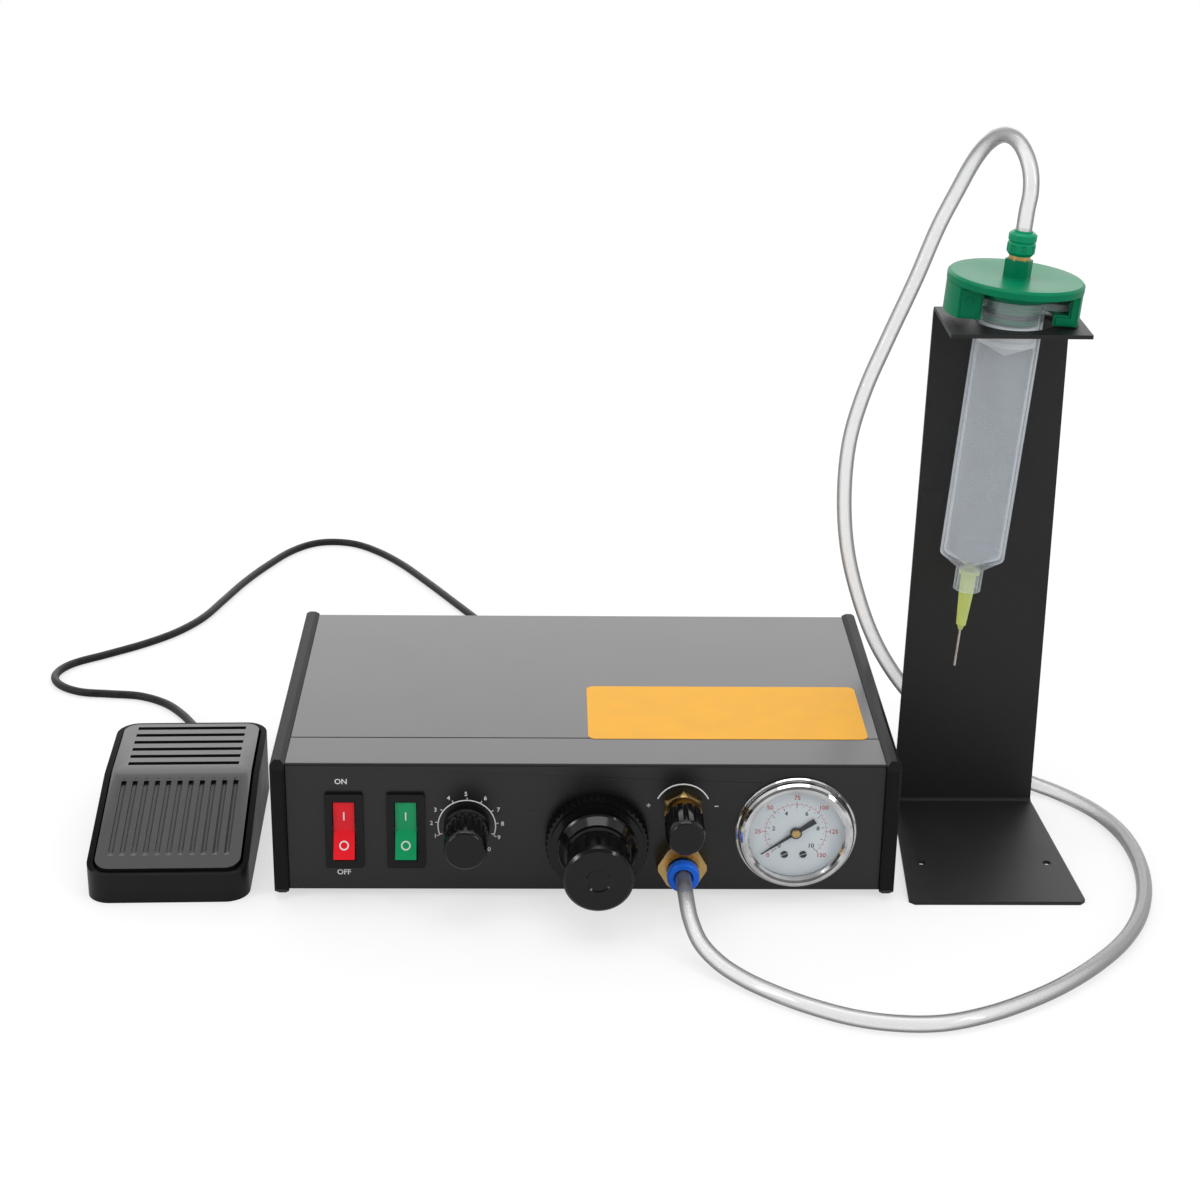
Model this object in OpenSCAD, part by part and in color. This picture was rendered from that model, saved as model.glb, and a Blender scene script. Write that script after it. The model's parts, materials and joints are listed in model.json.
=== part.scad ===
// Pneumatic glue dispenser: a bench controller, its foot pedal, a bent sheet stand,
// a syringe barrel with its screw-on needle, and the air hose that feeds it.
// Lengths are in millimetres. X runs right along the front panel, Y runs to the back, Z is up.
// The origin lies on the bench under the middle of the controller.

/* [Controller case] */
// Width of the controller over its two end plates
case_w = 235; // [225:1:280]
// Depth of an end plate from front to back
case_d = 148; // [140:1:200]
// Height of an end plate
plate_h = 56.2; // [55:0.1:70]
// Thickness of an end plate
plate_t = 5.4; // [4:0.1:8]
// Bevel along the edges of an end plate
plate_bevel = 1.5; // [0.5:0.1:1.6]
// Height of the end plates above the bench
foot_gap = 1.5; // [0.5:0.1:4]
// How far the front and rear panels sit back from the end plates
panel_inset = 2.8; // [1:0.1:5]
// How far the end plates stand above the covers
lip_high = 1.6; // [0.8:0.1:3]
// How far the end plates reach below the tray
lip_low = 1.8; // [0.8:0.1:3]
// Thickness of the front and rear panels
panel_t = 2; // [1.5:0.1:3]
// Sheet thickness of the top cover and the tray
cover_t = 1.6; // [1:0.1:2]
// Depth of the front panel's folded top strip
strip_d = 22.5; // [15:0.5:30]
// Gap between the top strip and the top cover
seam_gap = 0.4; // [0.1:0.1:0.8]
// Radius of a rubber foot where it meets the tray
foot_r = 7; // [5:0.5:9]
// Distance of the end plate screws from the middle of the case
screw_y = 58; // [50:1:60]
// Radius of an end plate screw
screw_r = 1.5; // [1.2:0.1:2]

/* [Rocker switches] */
// Place of the power switch along the front panel
power_x = -90.6; // [-96:0.1:-88]
// Place of the mode switch along the front panel
mode_x = -67.5; // [-72:0.1:-64]
// Height of both switches above the bench
switch_z = 28.6; // [26:0.1:32]
// Width of a switch bezel
bezel_w = 14.4; // [14:0.1:17]
// Height of a switch bezel
bezel_h = 31; // [30:0.1:34]
// Thickness of a switch bezel
bezel_t = 1.6; // [1:0.1:2.5]
// Depth of a switch body behind the panel
switch_depth = 16; // [12:0.5:22]
// Width of a rocker
rocker_w = 7.9; // [7:0.1:8.4]
// Radius of a rocker's rounded ends about its pivot
rocker_r = 12; // [11:0.1:12.6]
// Angle of each face of a rocker, and half of its swing
rocker_angle = 12; // [8:1:14]

/* [Timer knob] */
// Place of the timer knob along the front panel
time_x = -44.7; // [-48:0.1:-42]
// Height of the timer knob above the bench
time_z = 30.3; // [28:0.1:33]
// Radius of the timer knob at its skirt
time_skirt_r = 8.6; // [8:0.1:10]
// Radius of the timer knob's front face
time_face_r = 7.6; // [7:0.1:7.9]
// Distance of the timer knob's front face from the panel
time_reach = 20; // [17:0.5:26]
// Radius of the potentiometer's shaft
pot_shaft_r = 3; // [2:0.1:3.2]
// Radius of the potentiometer's threaded bush
pot_bush_r = 4.4; // [4:0.1:4.6]

/* [Air pressure regulator] */
// Place of the regulator along the front panel
reg_x = 4.2; // [0:0.1:6]
// Height of the regulator above the bench
reg_z = 25.3; // [25:0.1:28]
// Radius of the toothed ring nut
ring_r = 19.4; // [18:0.1:21]
// Thickness of the toothed ring nut
ring_t = 8.3; // [6.5:0.1:9]
// Radius of the regulator's threaded neck
neck_r = 15; // [14:0.1:16]
// Radius of the regulator knob's front rim
reg_knob_r = 13; // [12.6:0.1:14.5]
// Distance of the regulator knob's front face from the panel
reg_reach = 32.9; // [30:0.1:40]
// How far the regulator knob pulls out to unlock
reg_pull = 3; // [2:0.1:4]
// Width across flats of the adjusting screw's drive
reg_drive_af = 8; // [6.5:0.1:9]

/* [Vacuum valve] */
// Place of the vacuum valve and the outlet along the front panel
outlet_x = 36.3; // [34:0.1:40]
// Height of the vacuum valve above the bench
vac_z = 37.7; // [36.5:0.1:39]
// Radius of the vacuum knob
vac_knob_r = 7.35; // [6.5:0.05:8]
// Distance of the vacuum knob's front face from the panel
vac_reach = 24.1; // [20:0.1:30]
// Length of the vacuum knob
vac_knob_l = 15.3; // [11:0.1:16]
// Width across flats of the vacuum valve's brass nut
vac_nut_af = 14; // [12:0.5:15]
// Radius of the valve spindle
spindle_r = 2.5; // [2:0.1:3]

/* [Air outlet] */
// Height of the air outlet above the bench
outlet_z = 16.5; // [16:0.1:17.5]
// Width across flats of the brass fitting
fitting_af = 17; // [16:0.5:18.5]
// Thickness of the brass hexagon
fitting_t = 7.5; // [5:0.1:9]
// Radius of the release collar's flange
collar_r = 6.1; // [5.5:0.1:7]
// Travel of the release collar when it is pushed in
collar_push = 1; // [0.5:0.1:1.5]
// Outer radius of the air hose
hose_r = 3; // [2.5:0.1:3.1]

/* [Pressure gauge] */
// Place of the gauge along the front panel
gauge_x = 79.2; // [76:0.1:82]
// Height of the gauge above the bench
gauge_z = 28.2; // [28:0.1:29.5]
// Radius of the chromed bezel
gauge_r = 23; // [22:0.1:24]
// Radius of the gauge's case behind the panel
gauge_case_r = 20.3; // [19.8:0.1:20.8]
// Visible radius of the dial
dial_r = 17.8; // [17:0.1:18.4]
// Distance of the bezel's front from the panel
gauge_reach = 5; // [4.6:0.1:7]
// Length of the pointer from its pivot to its tip
pointer_l = 15.8; // [10:0.1:16.5]

/* [Foot pedal] */
// Width of the pedal
pedal_w = 61; // [56:1:80]
// Length of the pedal
pedal_l = 102; // [98:1:130]
// Height of the pedal's front wall
pedal_front_h = 12; // [11:0.5:14]
// Height of the ridge across the pedal plate
pedal_ridge_h = 26; // [25:0.5:30]
// Height of the pedal plate at its back
pedal_back_h = 27.5; // [26.5:0.5:32]
// Wall thickness of the pedal's base
pedal_wall = 2.3; // [1.8:0.1:3]
// Gap around the pedal plate
pedal_gap = 0.8; // [0.5:0.1:1.2]
// Angle that the pedal plate swings when it is pressed
pedal_swing = 2.5; // [1:0.1:2.8]
// Radius of the pedal's hinge pin
pedal_pin_r = 2; // [1.5:0.1:2.5]
// Number of cross grooves on the pedal plate
cross_grooves = 6; // [4:1:6]
// Number of lengthwise grooves on the pedal plate
long_grooves = 11; // [7:1:11]

/* [Syringe stand] */
// Height of the stand to the top of its flange
stand_h = 211.5; // [190:0.5:240]
// Sheet thickness of the stand
stand_t = 1.5; // [1:0.1:3]
// Width of the stand at the front of its base
stand_front_w = 67.4; // [60:0.1:80]
// Width of the stand where the base bends up
stand_bend_w = 57; // [52:0.5:60]
// Width of the stand's flange
stand_flange_w = 52; // [50.5:0.5:56]
// Depth of the base
stand_base_d = 85; // [70:1:110]
// Depth of the flange that holds the syringe
stand_flange_d = 41; // [40:0.5:50]
// Radius of the hole for the syringe
stand_hole_r = 15; // [14:0.1:16]
// Distance between the two screw holes in the base
base_hole_gap = 49.5; // [40:0.5:52]
// Radius of a screw hole in the base
base_hole_r = 1.65; // [1.2:0.05:2.5]

/* [Syringe] */
// Lean of the syringe in its hole
syringe_lean = 4.2; // [3:0.1:4.4]
// Outer radius of the barrel
barrel_r = 12.4; // [12:0.1:12.6]
// Wall thickness of the barrel
barrel_wall = 1.3; // [0.8:0.1:1.5]
// Length of the barrel's straight part below the stand's flange
barrel_l = 93.5; // [70:0.5:110]
// Height of the cone at the barrel's outlet
cone_h = 5.5; // [4:0.1:7]
// Outer radius of the needle's locking neck
luer_r = 5.3; // [5:0.1:6]
// Length of the needle's locking neck
luer_l = 8.9; // [8:0.1:10]
// Length of the piston's straight part
piston_l = 7.9; // [6:0.1:14]
// Length of the needle hub below the neck
hub_l = 15; // [12:0.5:25]
// Length of bare needle
needle_l = 15.5; // [8:0.5:40]
// Outer radius of the needle
needle_r = 0.45; // [0.3:0.05:0.8]

/* [Barrel adapter] */
// Radius of the adapter's disc
adapter_r = 25.3; // [25:0.1:26]
// Thickness of the adapter's disc
adapter_t = 3.3; // [2.5:0.1:4]
// Width of an adapter wing
wing_w = 23; // [22:0.5:26]
// Thickness of the lip under an ear of the barrel
wing_lip = 4.2; // [3:0.1:4.4]
// Height of the adapter's hexagon
adapter_hex_h = 6.1; // [5:0.1:8]
// Width across flats of the adapter's hexagon
adapter_hex_af = 9.1; // [8:0.1:12]
// Radius of the hose coupling
coupling_r = 5.2; // [4.5:0.1:6]

/* [Rear fittings] */
// Place of the mains inlet along the rear panel
inlet_x = -78; // [-82:1:-70]
// Place of the foot switch socket along the rear panel
socket_x = -16; // [-18:0.5:-15]
// Height of the foot switch socket above the bench
socket_z = 20; // [18:0.5:22]
// Radius of the supply tube's bore
supply_bore_r = 4.05; // [3.05:0.05:4.6]
// Place of the exhaust muffler along the rear panel
muffler_x = 36.3; // [30:0.1:50]
// Distance of the muffler's tip from the rear panel
muffler_l = 32.9; // [20:0.1:40]

/* [Hidden] */

$fn = 64;
// Clearance between parts that only sit in each other
slip = 0.1;
// Clearance between moving bodies
gap = 0.3;
// Radial clearance of a running fit
run = 0.05;
// Overshoot of a cut past the face it opens
over = 1;

panel_y = panel_inset - case_d / 2;
rear_y = -panel_y;
inner_x = case_w / 2 - plate_t;
low_z = foot_gap + lip_low;
top_z = foot_gap + plate_h - lip_high;
tray_z = low_z + cover_t;
seam_y = panel_y + strip_d;
strip_lip_t = 1.4;
strip_lip_l = 6;
tab_t = 2;
tab_w = 12;
tab_h = 13;
low_screw_z = tray_z + 8;
high_screw_z = top_z - panel_t - 8;
board_post_h = 6;
board_z = tray_z + board_post_h;
board_size = [70, 56];
board_gap = 6.1;
board_mid = [board_gap + board_size[0] / 2 - inner_x, -18];
board_t = 1.6;
core_foot_w = 54;
core_gap = 1.1;
switch_body_w = 12.6;
switch_body_h = 27.4;
switch_cavity = 9.5;
pivot_depth = 3;
rocker_rise = rocker_r * sin(rocker_angle);
valve_front_y = -4;
line_r = 2;
line_bend = 6;
reg_half = 17;
reg_front = -13;
reg_back = -48;
gauge_depth = 26;
gauge_port_y = panel_y + gauge_depth + 14;
feed_z = reg_z - 3.5;
bonnet_front = ring_t + 5;
drive_top = bonnet_front + reg_pull + 11;
glass_t = 1.1;
pedal_apart = 11.1;
pedal_at = [-(case_w / 2 + pedal_apart + pedal_w / 2), -25.1];
switch_at_y = -8;
striker_r = 2;
pedal_turn = 1.5;
plate_front_z = pedal_front_h + 1.2;
pedal_floor = 2;
ridge_y = 8;
hinge_y = pedal_l / 2 - 11;
hinge_z = 14;
plate_t2 = 2.5;
spring_y = -25;
spring_top = 14.8;
plunger_top = pedal_floor + 12.7;
skirt_t = 1.8;
skirt_h = 6;
stand_apart = 5.8;
stand_x = case_w / 2 + stand_apart + stand_front_w / 2;
stand_rear_y = 8;
syringe_x = stand_x - 1;
syringe_y = -13;
bend_r = 3;
bore_r = barrel_r - barrel_wall;
wing_low = adapter_r * sin(syringe_lean) + gap;
ear_low = wing_low + wing_lip + gap;
ear_t = 2.6;
barrel_top = ear_low + ear_t;
disc_low = barrel_top + 4.6;
disc_top = disc_low + adapter_t;
hex_top = disc_top + adapter_hex_h;
coupling_low = hex_top + 1.5;
coupling_top = coupling_low + 9.2;
plug_low = 0.3;
piston_top = -gap;
piston_cone = 5.7;
neck_top = -barrel_l - cone_h;
neck_low = neck_top - luer_l;
hub_low = neck_low - hub_l;

// Centre line of the air hose, from the outlet to the coupling
hose_points = [
  [36.3, -71.7, 16.5], [36.3, -88, 16.5], [36.6, -99, 15.6], [37.8, -108.5, 12],
  [41, -118, 7.9], [47, -126.5, 5], [54.5, -134.2, 3.5], [64, -142.5, 3],
  [77, -152, 3], [92, -159.7, 3], [107, -163.2, 3], [122, -163, 3],
  [137, -158.2, 3], [152, -150.3, 3], [168, -139.2, 3], [184, -124.5, 3],
  [198, -107.7, 3], [208.5, -88.5, 3], [215, -67.5, 3], [217.6, -45.5, 3],
  [216, -24.5, 3], [209.5, -6, 3], [198, 10, 3], [184.5, 19.8, 4.5],
  [170.5, 24.2, 10], [156, 25.5, 20.5], [142, 25.2, 34], [129.5, 24.8, 49],
  [119.5, 24.6, 65.5], [111.8, 25, 84.5], [106, 25, 106], [103.6, 25, 129],
  [104.5, 25, 151.5], [109.3, 25, 172], [117, 25, 193], [126.4, 25, 217],
  [133.5, 24.4, 237.5], [139.6, 22.2, 252.5], [144.2, 18.2, 264.4], [148, 12.6, 272.2],
  [151.6, 6, 276.4], [154.9, -1, 276.5], [157.6, -7.2, 272.8], [159.4, -11.4, 266.6],
  [159.8, -12.9, 259.5], [159, -13, 252.5]];
// Centre line of the pedal's cable, from its gland to its plug
cable_points = [
  [-160.8, 38.9, 8], [-161.2, 48, 7.2], [-163, 58, 4.8], [-167.5, 71, 2.2],
  [-175, 85, 1.8], [-184.5, 97, 1.8], [-197, 104.8, 1.8], [-211, 107, 1.8],
  [-225, 109.3, 1.8], [-235.5, 117, 1.8], [-239.3, 127.5, 1.8], [-234.5, 139.5, 1.8],
  [-220, 151, 1.8], [-204.5, 163.5, 1.8], [-191.5, 177.5, 1.8], [-181.5, 195, 1.8],
  [-174.5, 217, 1.8], [-167, 241.5, 1.8], [-157.5, 265.5, 1.8], [-147, 286, 1.8],
  [-134.5, 297.5, 1.8], [-119, 297.5, 1.8], [-105.5, 288, 1.8], [-90, 268.5, 1.8],
  [-73, 239.5, 1.8], [-56, 208.5, 1.8], [-41, 181.5, 1.8], [-29, 160.5, 3],
  [-21, 144, 8], [-17, 128.5, 15], [-16, 117, 19.2]];
cable_r = 1.8;
plug_end = 109;

// Returns the unit direction of a route at one of its points
function route_dir(p, i) = let (d = p[min(i + 1, len(p) - 1)] - p[max(i - 1, 0)]) d / norm(d);

// Returns a vector square to a direction, kept level where it can be
function side_dir(d) = let (s = cross(d, abs(d[2]) > 0.8 ? [0, 1, 0] : [0, 0, 1])) s / norm(s);

// Returns one ring of a swept tube
function tube_ring(p, d, r, n) =
  let (s = side_dir(d), t = cross(s, d))
  [for (k = [0 : n - 1]) p + r * (cos(360 * k / n) * s + sin(360 * k / n) * t)];

// A closed tube swept along a route, with its end faces square to the route
module tube(p, r, n) {
  m = len(p);
  pts = [for (i = [0 : m - 1], q = tube_ring(p[i], route_dir(p, i), r, n)) q];
  sides = [for (i = [0 : m - 2], k = [0 : n - 1])
    [i * n + k, i * n + (k + 1) % n, (i + 1) * n + (k + 1) % n, (i + 1) * n + k]];
  first = [for (k = [0 : n - 1]) n - 1 - k];
  last = [for (k = [0 : n - 1]) (m - 1) * n + k];
  polyhedron(points = pts, faces = concat([first], sides, [last]), convexity = 8);
}

// Places children on the front panel: local Z points out of it and local Y up
module out_at(x, z) {
  translate([x, panel_y, z])
    rotate([90, 0, 0])
      children();
}

// Places children on the rear panel: local Z points out of it and local Y down
module back_at(x, z) {
  translate([x, rear_y, z])
    rotate([-90, 0, 0])
      children();
}

// Places children along the leaning syringe, from the stand's flange up
module on_syringe() {
  translate([syringe_x, syringe_y, stand_h])
    rotate([0, syringe_lean, 0])
      children();
}

// Places children in the pedal's own frame, with its length along Y
module at_pedal() {
  translate([pedal_at[0], pedal_at[1], 0])
    rotate([0, 0, pedal_turn])
      children();
}

// Extrudes a profile drawn in Y and Z along X
module along_x(w) {
  rotate([90, 0, 90])
    linear_extrude(w, center = true)
      children();
}

// A cylinder from one height to another
module rod(low, high, r) {
  translate([0, 0, low])
    cylinder(h = high - low, r = r);
}

// A hexagonal bar from one height to another, with corners at both ends of local X
module hex(low, high, af) {
  translate([0, 0, low])
    cylinder(h = high - low, r = af / sqrt(3), $fn = 6);
}

// A rectangle with rounded corners
module rounded_rect(w, h, r) {
  square([w - 2 * r, h], center = true);
  square([w, h - 2 * r], center = true);
  for (sx = [-1, 1], sy = [-1, 1])
    translate([sx * (w / 2 - r), sy * (h / 2 - r)])
      circle(r, $fn = 32);
}

// A rectangle with bevelled corners
module bevelled_rect(w, h, c) {
  polygon([[c - w / 2, -h / 2], [w / 2 - c, -h / 2], [w / 2, c - h / 2], [w / 2, h / 2 - c],
    [w / 2 - c, h / 2], [c - w / 2, h / 2], [-w / 2, h / 2 - c], [-w / 2, c - h / 2]]);
}

// Places children at the four screws of the end plate on one side
module at_end_screws(side) {
  for (y = [-screw_y, screw_y], z = [low_screw_z, high_screw_z])
    translate([side * case_w / 2, y, z])
      rotate([0, -90 * side, 0])
        children();
}

// An end plate with bevels all round and four countersunk screw holes
module end_plate(side) {
  mid_z = foot_gap + plate_h / 2;
  difference() {
    intersection() {
      translate([side * (case_w - plate_t) / 2, 0, mid_z])
        along_x(plate_t)
          bevelled_rect(case_d, plate_h, 2 * plate_bevel);
      translate([side * (case_w - plate_t) / 2, case_d / 2, mid_z])
        rotate([90, 0, 0])
          linear_extrude(case_d)
            bevelled_rect(plate_t, plate_h, plate_bevel);
      translate([side * (case_w - plate_t) / 2, 0, foot_gap])
        linear_extrude(plate_h)
          bevelled_rect(plate_t, case_d, plate_bevel * 0.6);
    }
    at_end_screws(side) {
      rod(-over, plate_t + over, screw_r + 2 * slip);
      translate([0, 0, -0.01])
        cylinder(h = screw_r + 0.01, r1 = 2 * screw_r + 3 * slip, r2 = screw_r + 3 * slip);
    }
  }
}

module left_end_plate() {
  color("#2b2c2e")
    end_plate(-1);
}

module right_end_plate() {
  color("#2b2c2e")
    end_plate(1);
}

// Countersunk screws that hold the end plates
module end_plate_screws() {
  color("#3a3b3d")
    for (side = [-1, 1])
      at_end_screws(side) {
        rod(screw_r, plate_t + tab_t, screw_r);
        translate([0, 0, 0.1])
          cylinder(h = screw_r, r1 = 2 * screw_r, r2 = screw_r);
      }
}

// Screw tabs that stand inside the end plates, at one height
module screw_tabs(y, low, high, screw_z) {
  for (side = [-1, 1])
    difference() {
      translate([side * (inner_x - tab_t / 2), y, (low + high) / 2])
        cube([tab_t, tab_w, high - low], center = true);
      translate([side * inner_x, y, screw_z])
        rotate([0, 90, 0])
          cylinder(h = 4 * tab_t, r = screw_r + run, center = true);
    }
}

// The front panel: a folded sheet with its openings, a top strip and a lip under the cover
module front_panel() {
  color("#2d2e30")
    union() {
      difference() {
        along_x(2 * inner_x)
          polygon([[panel_y, low_z], [panel_y + panel_t, low_z],
            [panel_y + panel_t, top_z - panel_t], [seam_y - 4, top_z - panel_t],
            [seam_y - 4, top_z - cover_t - strip_lip_t],
            [seam_y + strip_lip_l, top_z - cover_t - strip_lip_t],
            [seam_y + strip_lip_l, top_z - cover_t], [seam_y, top_z - cover_t],
            [seam_y, top_z], [panel_y + 0.8, top_z], [panel_y, top_z - 0.8]]);
        for (x = [power_x, mode_x])
          out_at(x, switch_z)
            translate([0, 0, -panel_t - over])
              linear_extrude(panel_t + 2 * over)
                square([switch_body_w + 2 * slip, switch_body_h + 2 * slip], center = true);
        out_at(time_x, time_z)
          rod(-panel_t - over, over, pot_bush_r + slip);
        out_at(reg_x, reg_z)
          rod(-panel_t - over, over, neck_r + slip);
        out_at(outlet_x, vac_z)
          rod(-panel_t - over, over, spindle_r + 2.3);
        out_at(outlet_x, outlet_z)
          rod(-panel_t - over, over, fitting_af / 2 - 2.6 + slip);
        out_at(gauge_x, gauge_z)
          rod(-panel_t - over, over, gauge_case_r + slip);
      }
      screw_tabs(-screw_y, top_z - panel_t - tab_h, top_z - panel_t / 2, high_screw_z);
    }
}

// The top cover, which rests on the front strip's lip and on the rear panel
module top_cover() {
  front = seam_y + seam_gap;
  color("#37383a")
    union() {
      translate([-inner_x, front, top_z - cover_t])
        cube([2 * inner_x, rear_y - front, cover_t]);
      screw_tabs(screw_y, top_z - cover_t - tab_h, top_z - cover_t, high_screw_z);
    }
}

// The bottom tray with its folded edges, screw tabs and board posts
module bottom_tray() {
  front = panel_y + panel_t;
  fold_z = tray_z + 2.4;
  post = board_size / 2 - [4, 4];
  color("#34353a")
    union() {
      along_x(2 * inner_x)
        polygon([[front, low_z], [-front, low_z], [-front, fold_z], [-front - cover_t, fold_z],
          [-front - cover_t, tray_z], [front + cover_t, tray_z], [front + cover_t, fold_z],
          [front, fold_z]]);
      for (y = [-screw_y, screw_y])
        screw_tabs(y, tray_z, tray_z + tab_h, low_screw_z);
      for (sx = [-1, 1], sy = [-1, 1])
        translate([board_mid[0] + sx * post[0], board_mid[1] + sy * post[1], 0])
          rod(tray_z, board_z, 2.5);
    }
}

// The rear panel with the openings of its fittings
module rear_panel() {
  color("#2d2e30")
    difference() {
      translate([-inner_x, rear_y - panel_t, low_z])
        cube([2 * inner_x, panel_t, top_z - cover_t - low_z]);
      back_at(inlet_x, switch_z)
        translate([0, 0, -panel_t - over])
          linear_extrude(panel_t + 2 * over)
            square([27 + 2 * slip, 31 + 2 * slip], center = true);
      back_at(socket_x, socket_z)
        rod(-panel_t - over, over, 6 + slip);
      back_at(reg_x, reg_z)
        rod(-panel_t - over, over, 5.5 + slip);
      back_at(muffler_x, outlet_z)
        rod(-panel_t - over, over, 4.8 + slip);
    }
}

// Four rubber feet under the tray
module rubber_feet() {
  color("#1c1c1c")
    for (sx = [-1, 1], sy = [-1, 1])
      translate([sx * (inner_x - 18), sy * (rear_y - 16), 0])
        cylinder(h = low_z, r1 = foot_r - 0.8, r2 = foot_r);
}

// The timer board with its parts soldered on
module circuit_board() {
  color("#1d6b3a")
    translate([board_mid[0], board_mid[1], board_z]) {
      linear_extrude(board_t)
        square(board_size, center = true);
      translate([18, 8, board_t])
        linear_extrude(15)
          square([19, 15.5], center = true);
      for (x = [-26, -14])
        translate([x, 14, 0])
          rod(board_t, board_t + 16, 5);
      translate([-8, -20, board_t])
        linear_extrude(10)
          square([40, 8], center = true);
      translate([0, -4, board_t])
        linear_extrude(3.4)
          square([20, 6.4], center = true);
    }
}

// The mains transformer: a laminated core around its winding
module mains_transformer() {
  color("#7a6a50")
    translate([core_gap + core_foot_w / 2 - inner_x, 31, tray_z]) {
      difference() {
        translate([0, 0, 17])
          cube([40, 16, 34], center = true);
        for (sx = [-1, 1])
          translate([sx * 10, 0, 17])
            cube([6, 17, 22], center = true);
      }
      translate([0, 0, 17])
        cube([25, 28, 21], center = true);
      translate([0, 0, 0.75])
        cube([core_foot_w, 16, 1.5], center = true);
    }
}

// The solenoid valve that switches the air to the outlet
module solenoid_valve() {
  mid_y = valve_front_y + 14;
  color("#9a9da1")
    difference() {
      union() {
        translate([outlet_x - 1, mid_y, (tray_z + outlet_z + 12) / 2])
          cube([26, 28, outlet_z + 12 - tray_z], center = true);
        translate([outlet_x - 1, mid_y + 27, (tray_z + outlet_z + 10) / 2])
          cube([22, 26, outlet_z + 10 - tray_z], center = true);
      }
      translate([outlet_x - 1, mid_y + 14, outlet_z + 11.5])
        cube([30, 2, 3], center = true);
    }
}

// The vacuum ejector that sits on the solenoid valve
module vacuum_ejector() {
  low = outlet_z + 12;
  color("#c0c2c4")
    difference() {
      translate([outlet_x, valve_front_y + 14, (low + vac_z + 7) / 2])
        cube([14, 28, vac_z + 7 - low], center = true);
      for (y = [6, 22])
        translate([outlet_x, valve_front_y + y, vac_z + 5])
          rotate([0, 90, 0])
            cylinder(h = 20, r = 1.2, center = true);
    }
}

// A straight air line along Y from one place to another
module line_y(x, z, from, to) {
  translate([x, to, z])
    rotate([90, 0, 0])
      cylinder(h = to - from, r = line_r);
}

// A straight air line along X
module line_x(y, z, from, to) {
  translate([from, y, z])
    rotate([0, 90, 0])
      cylinder(h = to - from, r = line_r);
}

// The tubes inside the case: supply, valve feed, outlet, vacuum and gauge lines
module inner_air_lines() {
  reg_rear = panel_y - reg_back;
  reg_side = reg_x + reg_half;
  feed_x = reg_side + line_bend;
  feed_y = -38;
  gauge_line_y = gauge_port_y + line_bend;
  color("#4f86c6") {
    line_y(reg_x, reg_z, reg_rear, rear_y - 14);
    line_y(outlet_x, outlet_z, panel_y + 18, valve_front_y);
    line_y(outlet_x, vac_z, panel_y + 24, valve_front_y);
    line_y(feed_x, feed_z, feed_y + line_bend, valve_front_y);
    translate([reg_side, feed_y + line_bend, feed_z])
      rotate([0, 0, -90])
        rotate_extrude(angle = 90)
          translate([line_bend, 0])
            circle(line_r, $fn = 32);
    line_x(gauge_line_y, gauge_z, reg_side, gauge_x - line_bend);
    translate([gauge_x - line_bend, gauge_port_y, gauge_z])
      rotate_extrude(angle = 90)
        translate([line_bend, 0])
          circle(line_r, $fn = 32);
  }
}

// A rocker switch's bezel and body, open at the front for the rocker
module switch_housing() {
  open_w = rocker_w + 2 * gap;
  open_h = 2 * rocker_r + 0.8;
  difference() {
    union() {
      linear_extrude(bezel_t)
        rounded_rect(bezel_w, bezel_h, 1);
      translate([0, 0, -switch_depth])
        linear_extrude(switch_depth)
          square([switch_body_w, switch_body_h], center = true);
      for (y = [-8, 0, 8])
        translate([0, y, -switch_depth - 4])
          cube([4.8, 0.8, 8], center = true);
    }
    translate([0, 0, -switch_cavity])
      linear_extrude(switch_cavity + bezel_t + over)
        square([open_w, open_h], center = true);
    translate([0, 0, bezel_t - pivot_depth])
      rotate([0, 90, 0])
        cylinder(h = rocker_w + 4, r = 1.5 + run, center = true);
  }
}

// A rocker with two slanted faces and trunnions, pressed in at its upper end
module rocker() {
  face_low = 2.1;
  tip = [face_low + rocker_rise, sqrt(pow(rocker_r, 2) - pow(face_low + rocker_rise, 2))];
  start = atan2(tip[1], tip[0]);
  rim = [for (i = [0 : 5]) let (a = start + i * (104 - start) / 5) rocker_r * [cos(a), sin(a)]];
  upper = concat([[face_low, 0]], rim, [[-5, 8], [-5.6, 3]]);
  lower = [for (i = [len(upper) - 1 : -1 : 1]) [upper[i][0], -upper[i][1]]];
  translate([0, 0, bezel_t - pivot_depth])
    rotate([-rocker_angle, 0, 0]) {
      rotate([0, -90, 0])
        linear_extrude(rocker_w, center = true)
          polygon(concat(upper, lower));
      rotate([0, 90, 0])
        cylinder(h = rocker_w + 3.4, r = 1.5, center = true);
    }
}

module power_switch_housing() {
  color("#1b1b1c")
    out_at(power_x, switch_z)
      switch_housing();
}

module power_rocker() {
  color("#d3191f")
    out_at(power_x, switch_z)
      rocker();
}

module mode_switch_housing() {
  color("#1b1b1c")
    out_at(mode_x, switch_z)
      switch_housing();
}

module mode_rocker() {
  color("#12a05c")
    out_at(mode_x, switch_z)
      rocker();
}

// The timer's potentiometer: body, terminals and threaded bush
module time_potentiometer() {
  color("#8d8f92")
    out_at(time_x, time_z)
      difference() {
        union() {
          rod(-panel_t - 9, -panel_t, 8.2);
          rod(-panel_t, 5, pot_bush_r);
          for (x = [-5, 0, 5])
            translate([x, -10.5, -panel_t - 7.6])
              cube([1.2, 10, 0.8], center = true);
        }
        rod(-panel_t - 6, 6, pot_shaft_r + run);
      }
}

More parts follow.
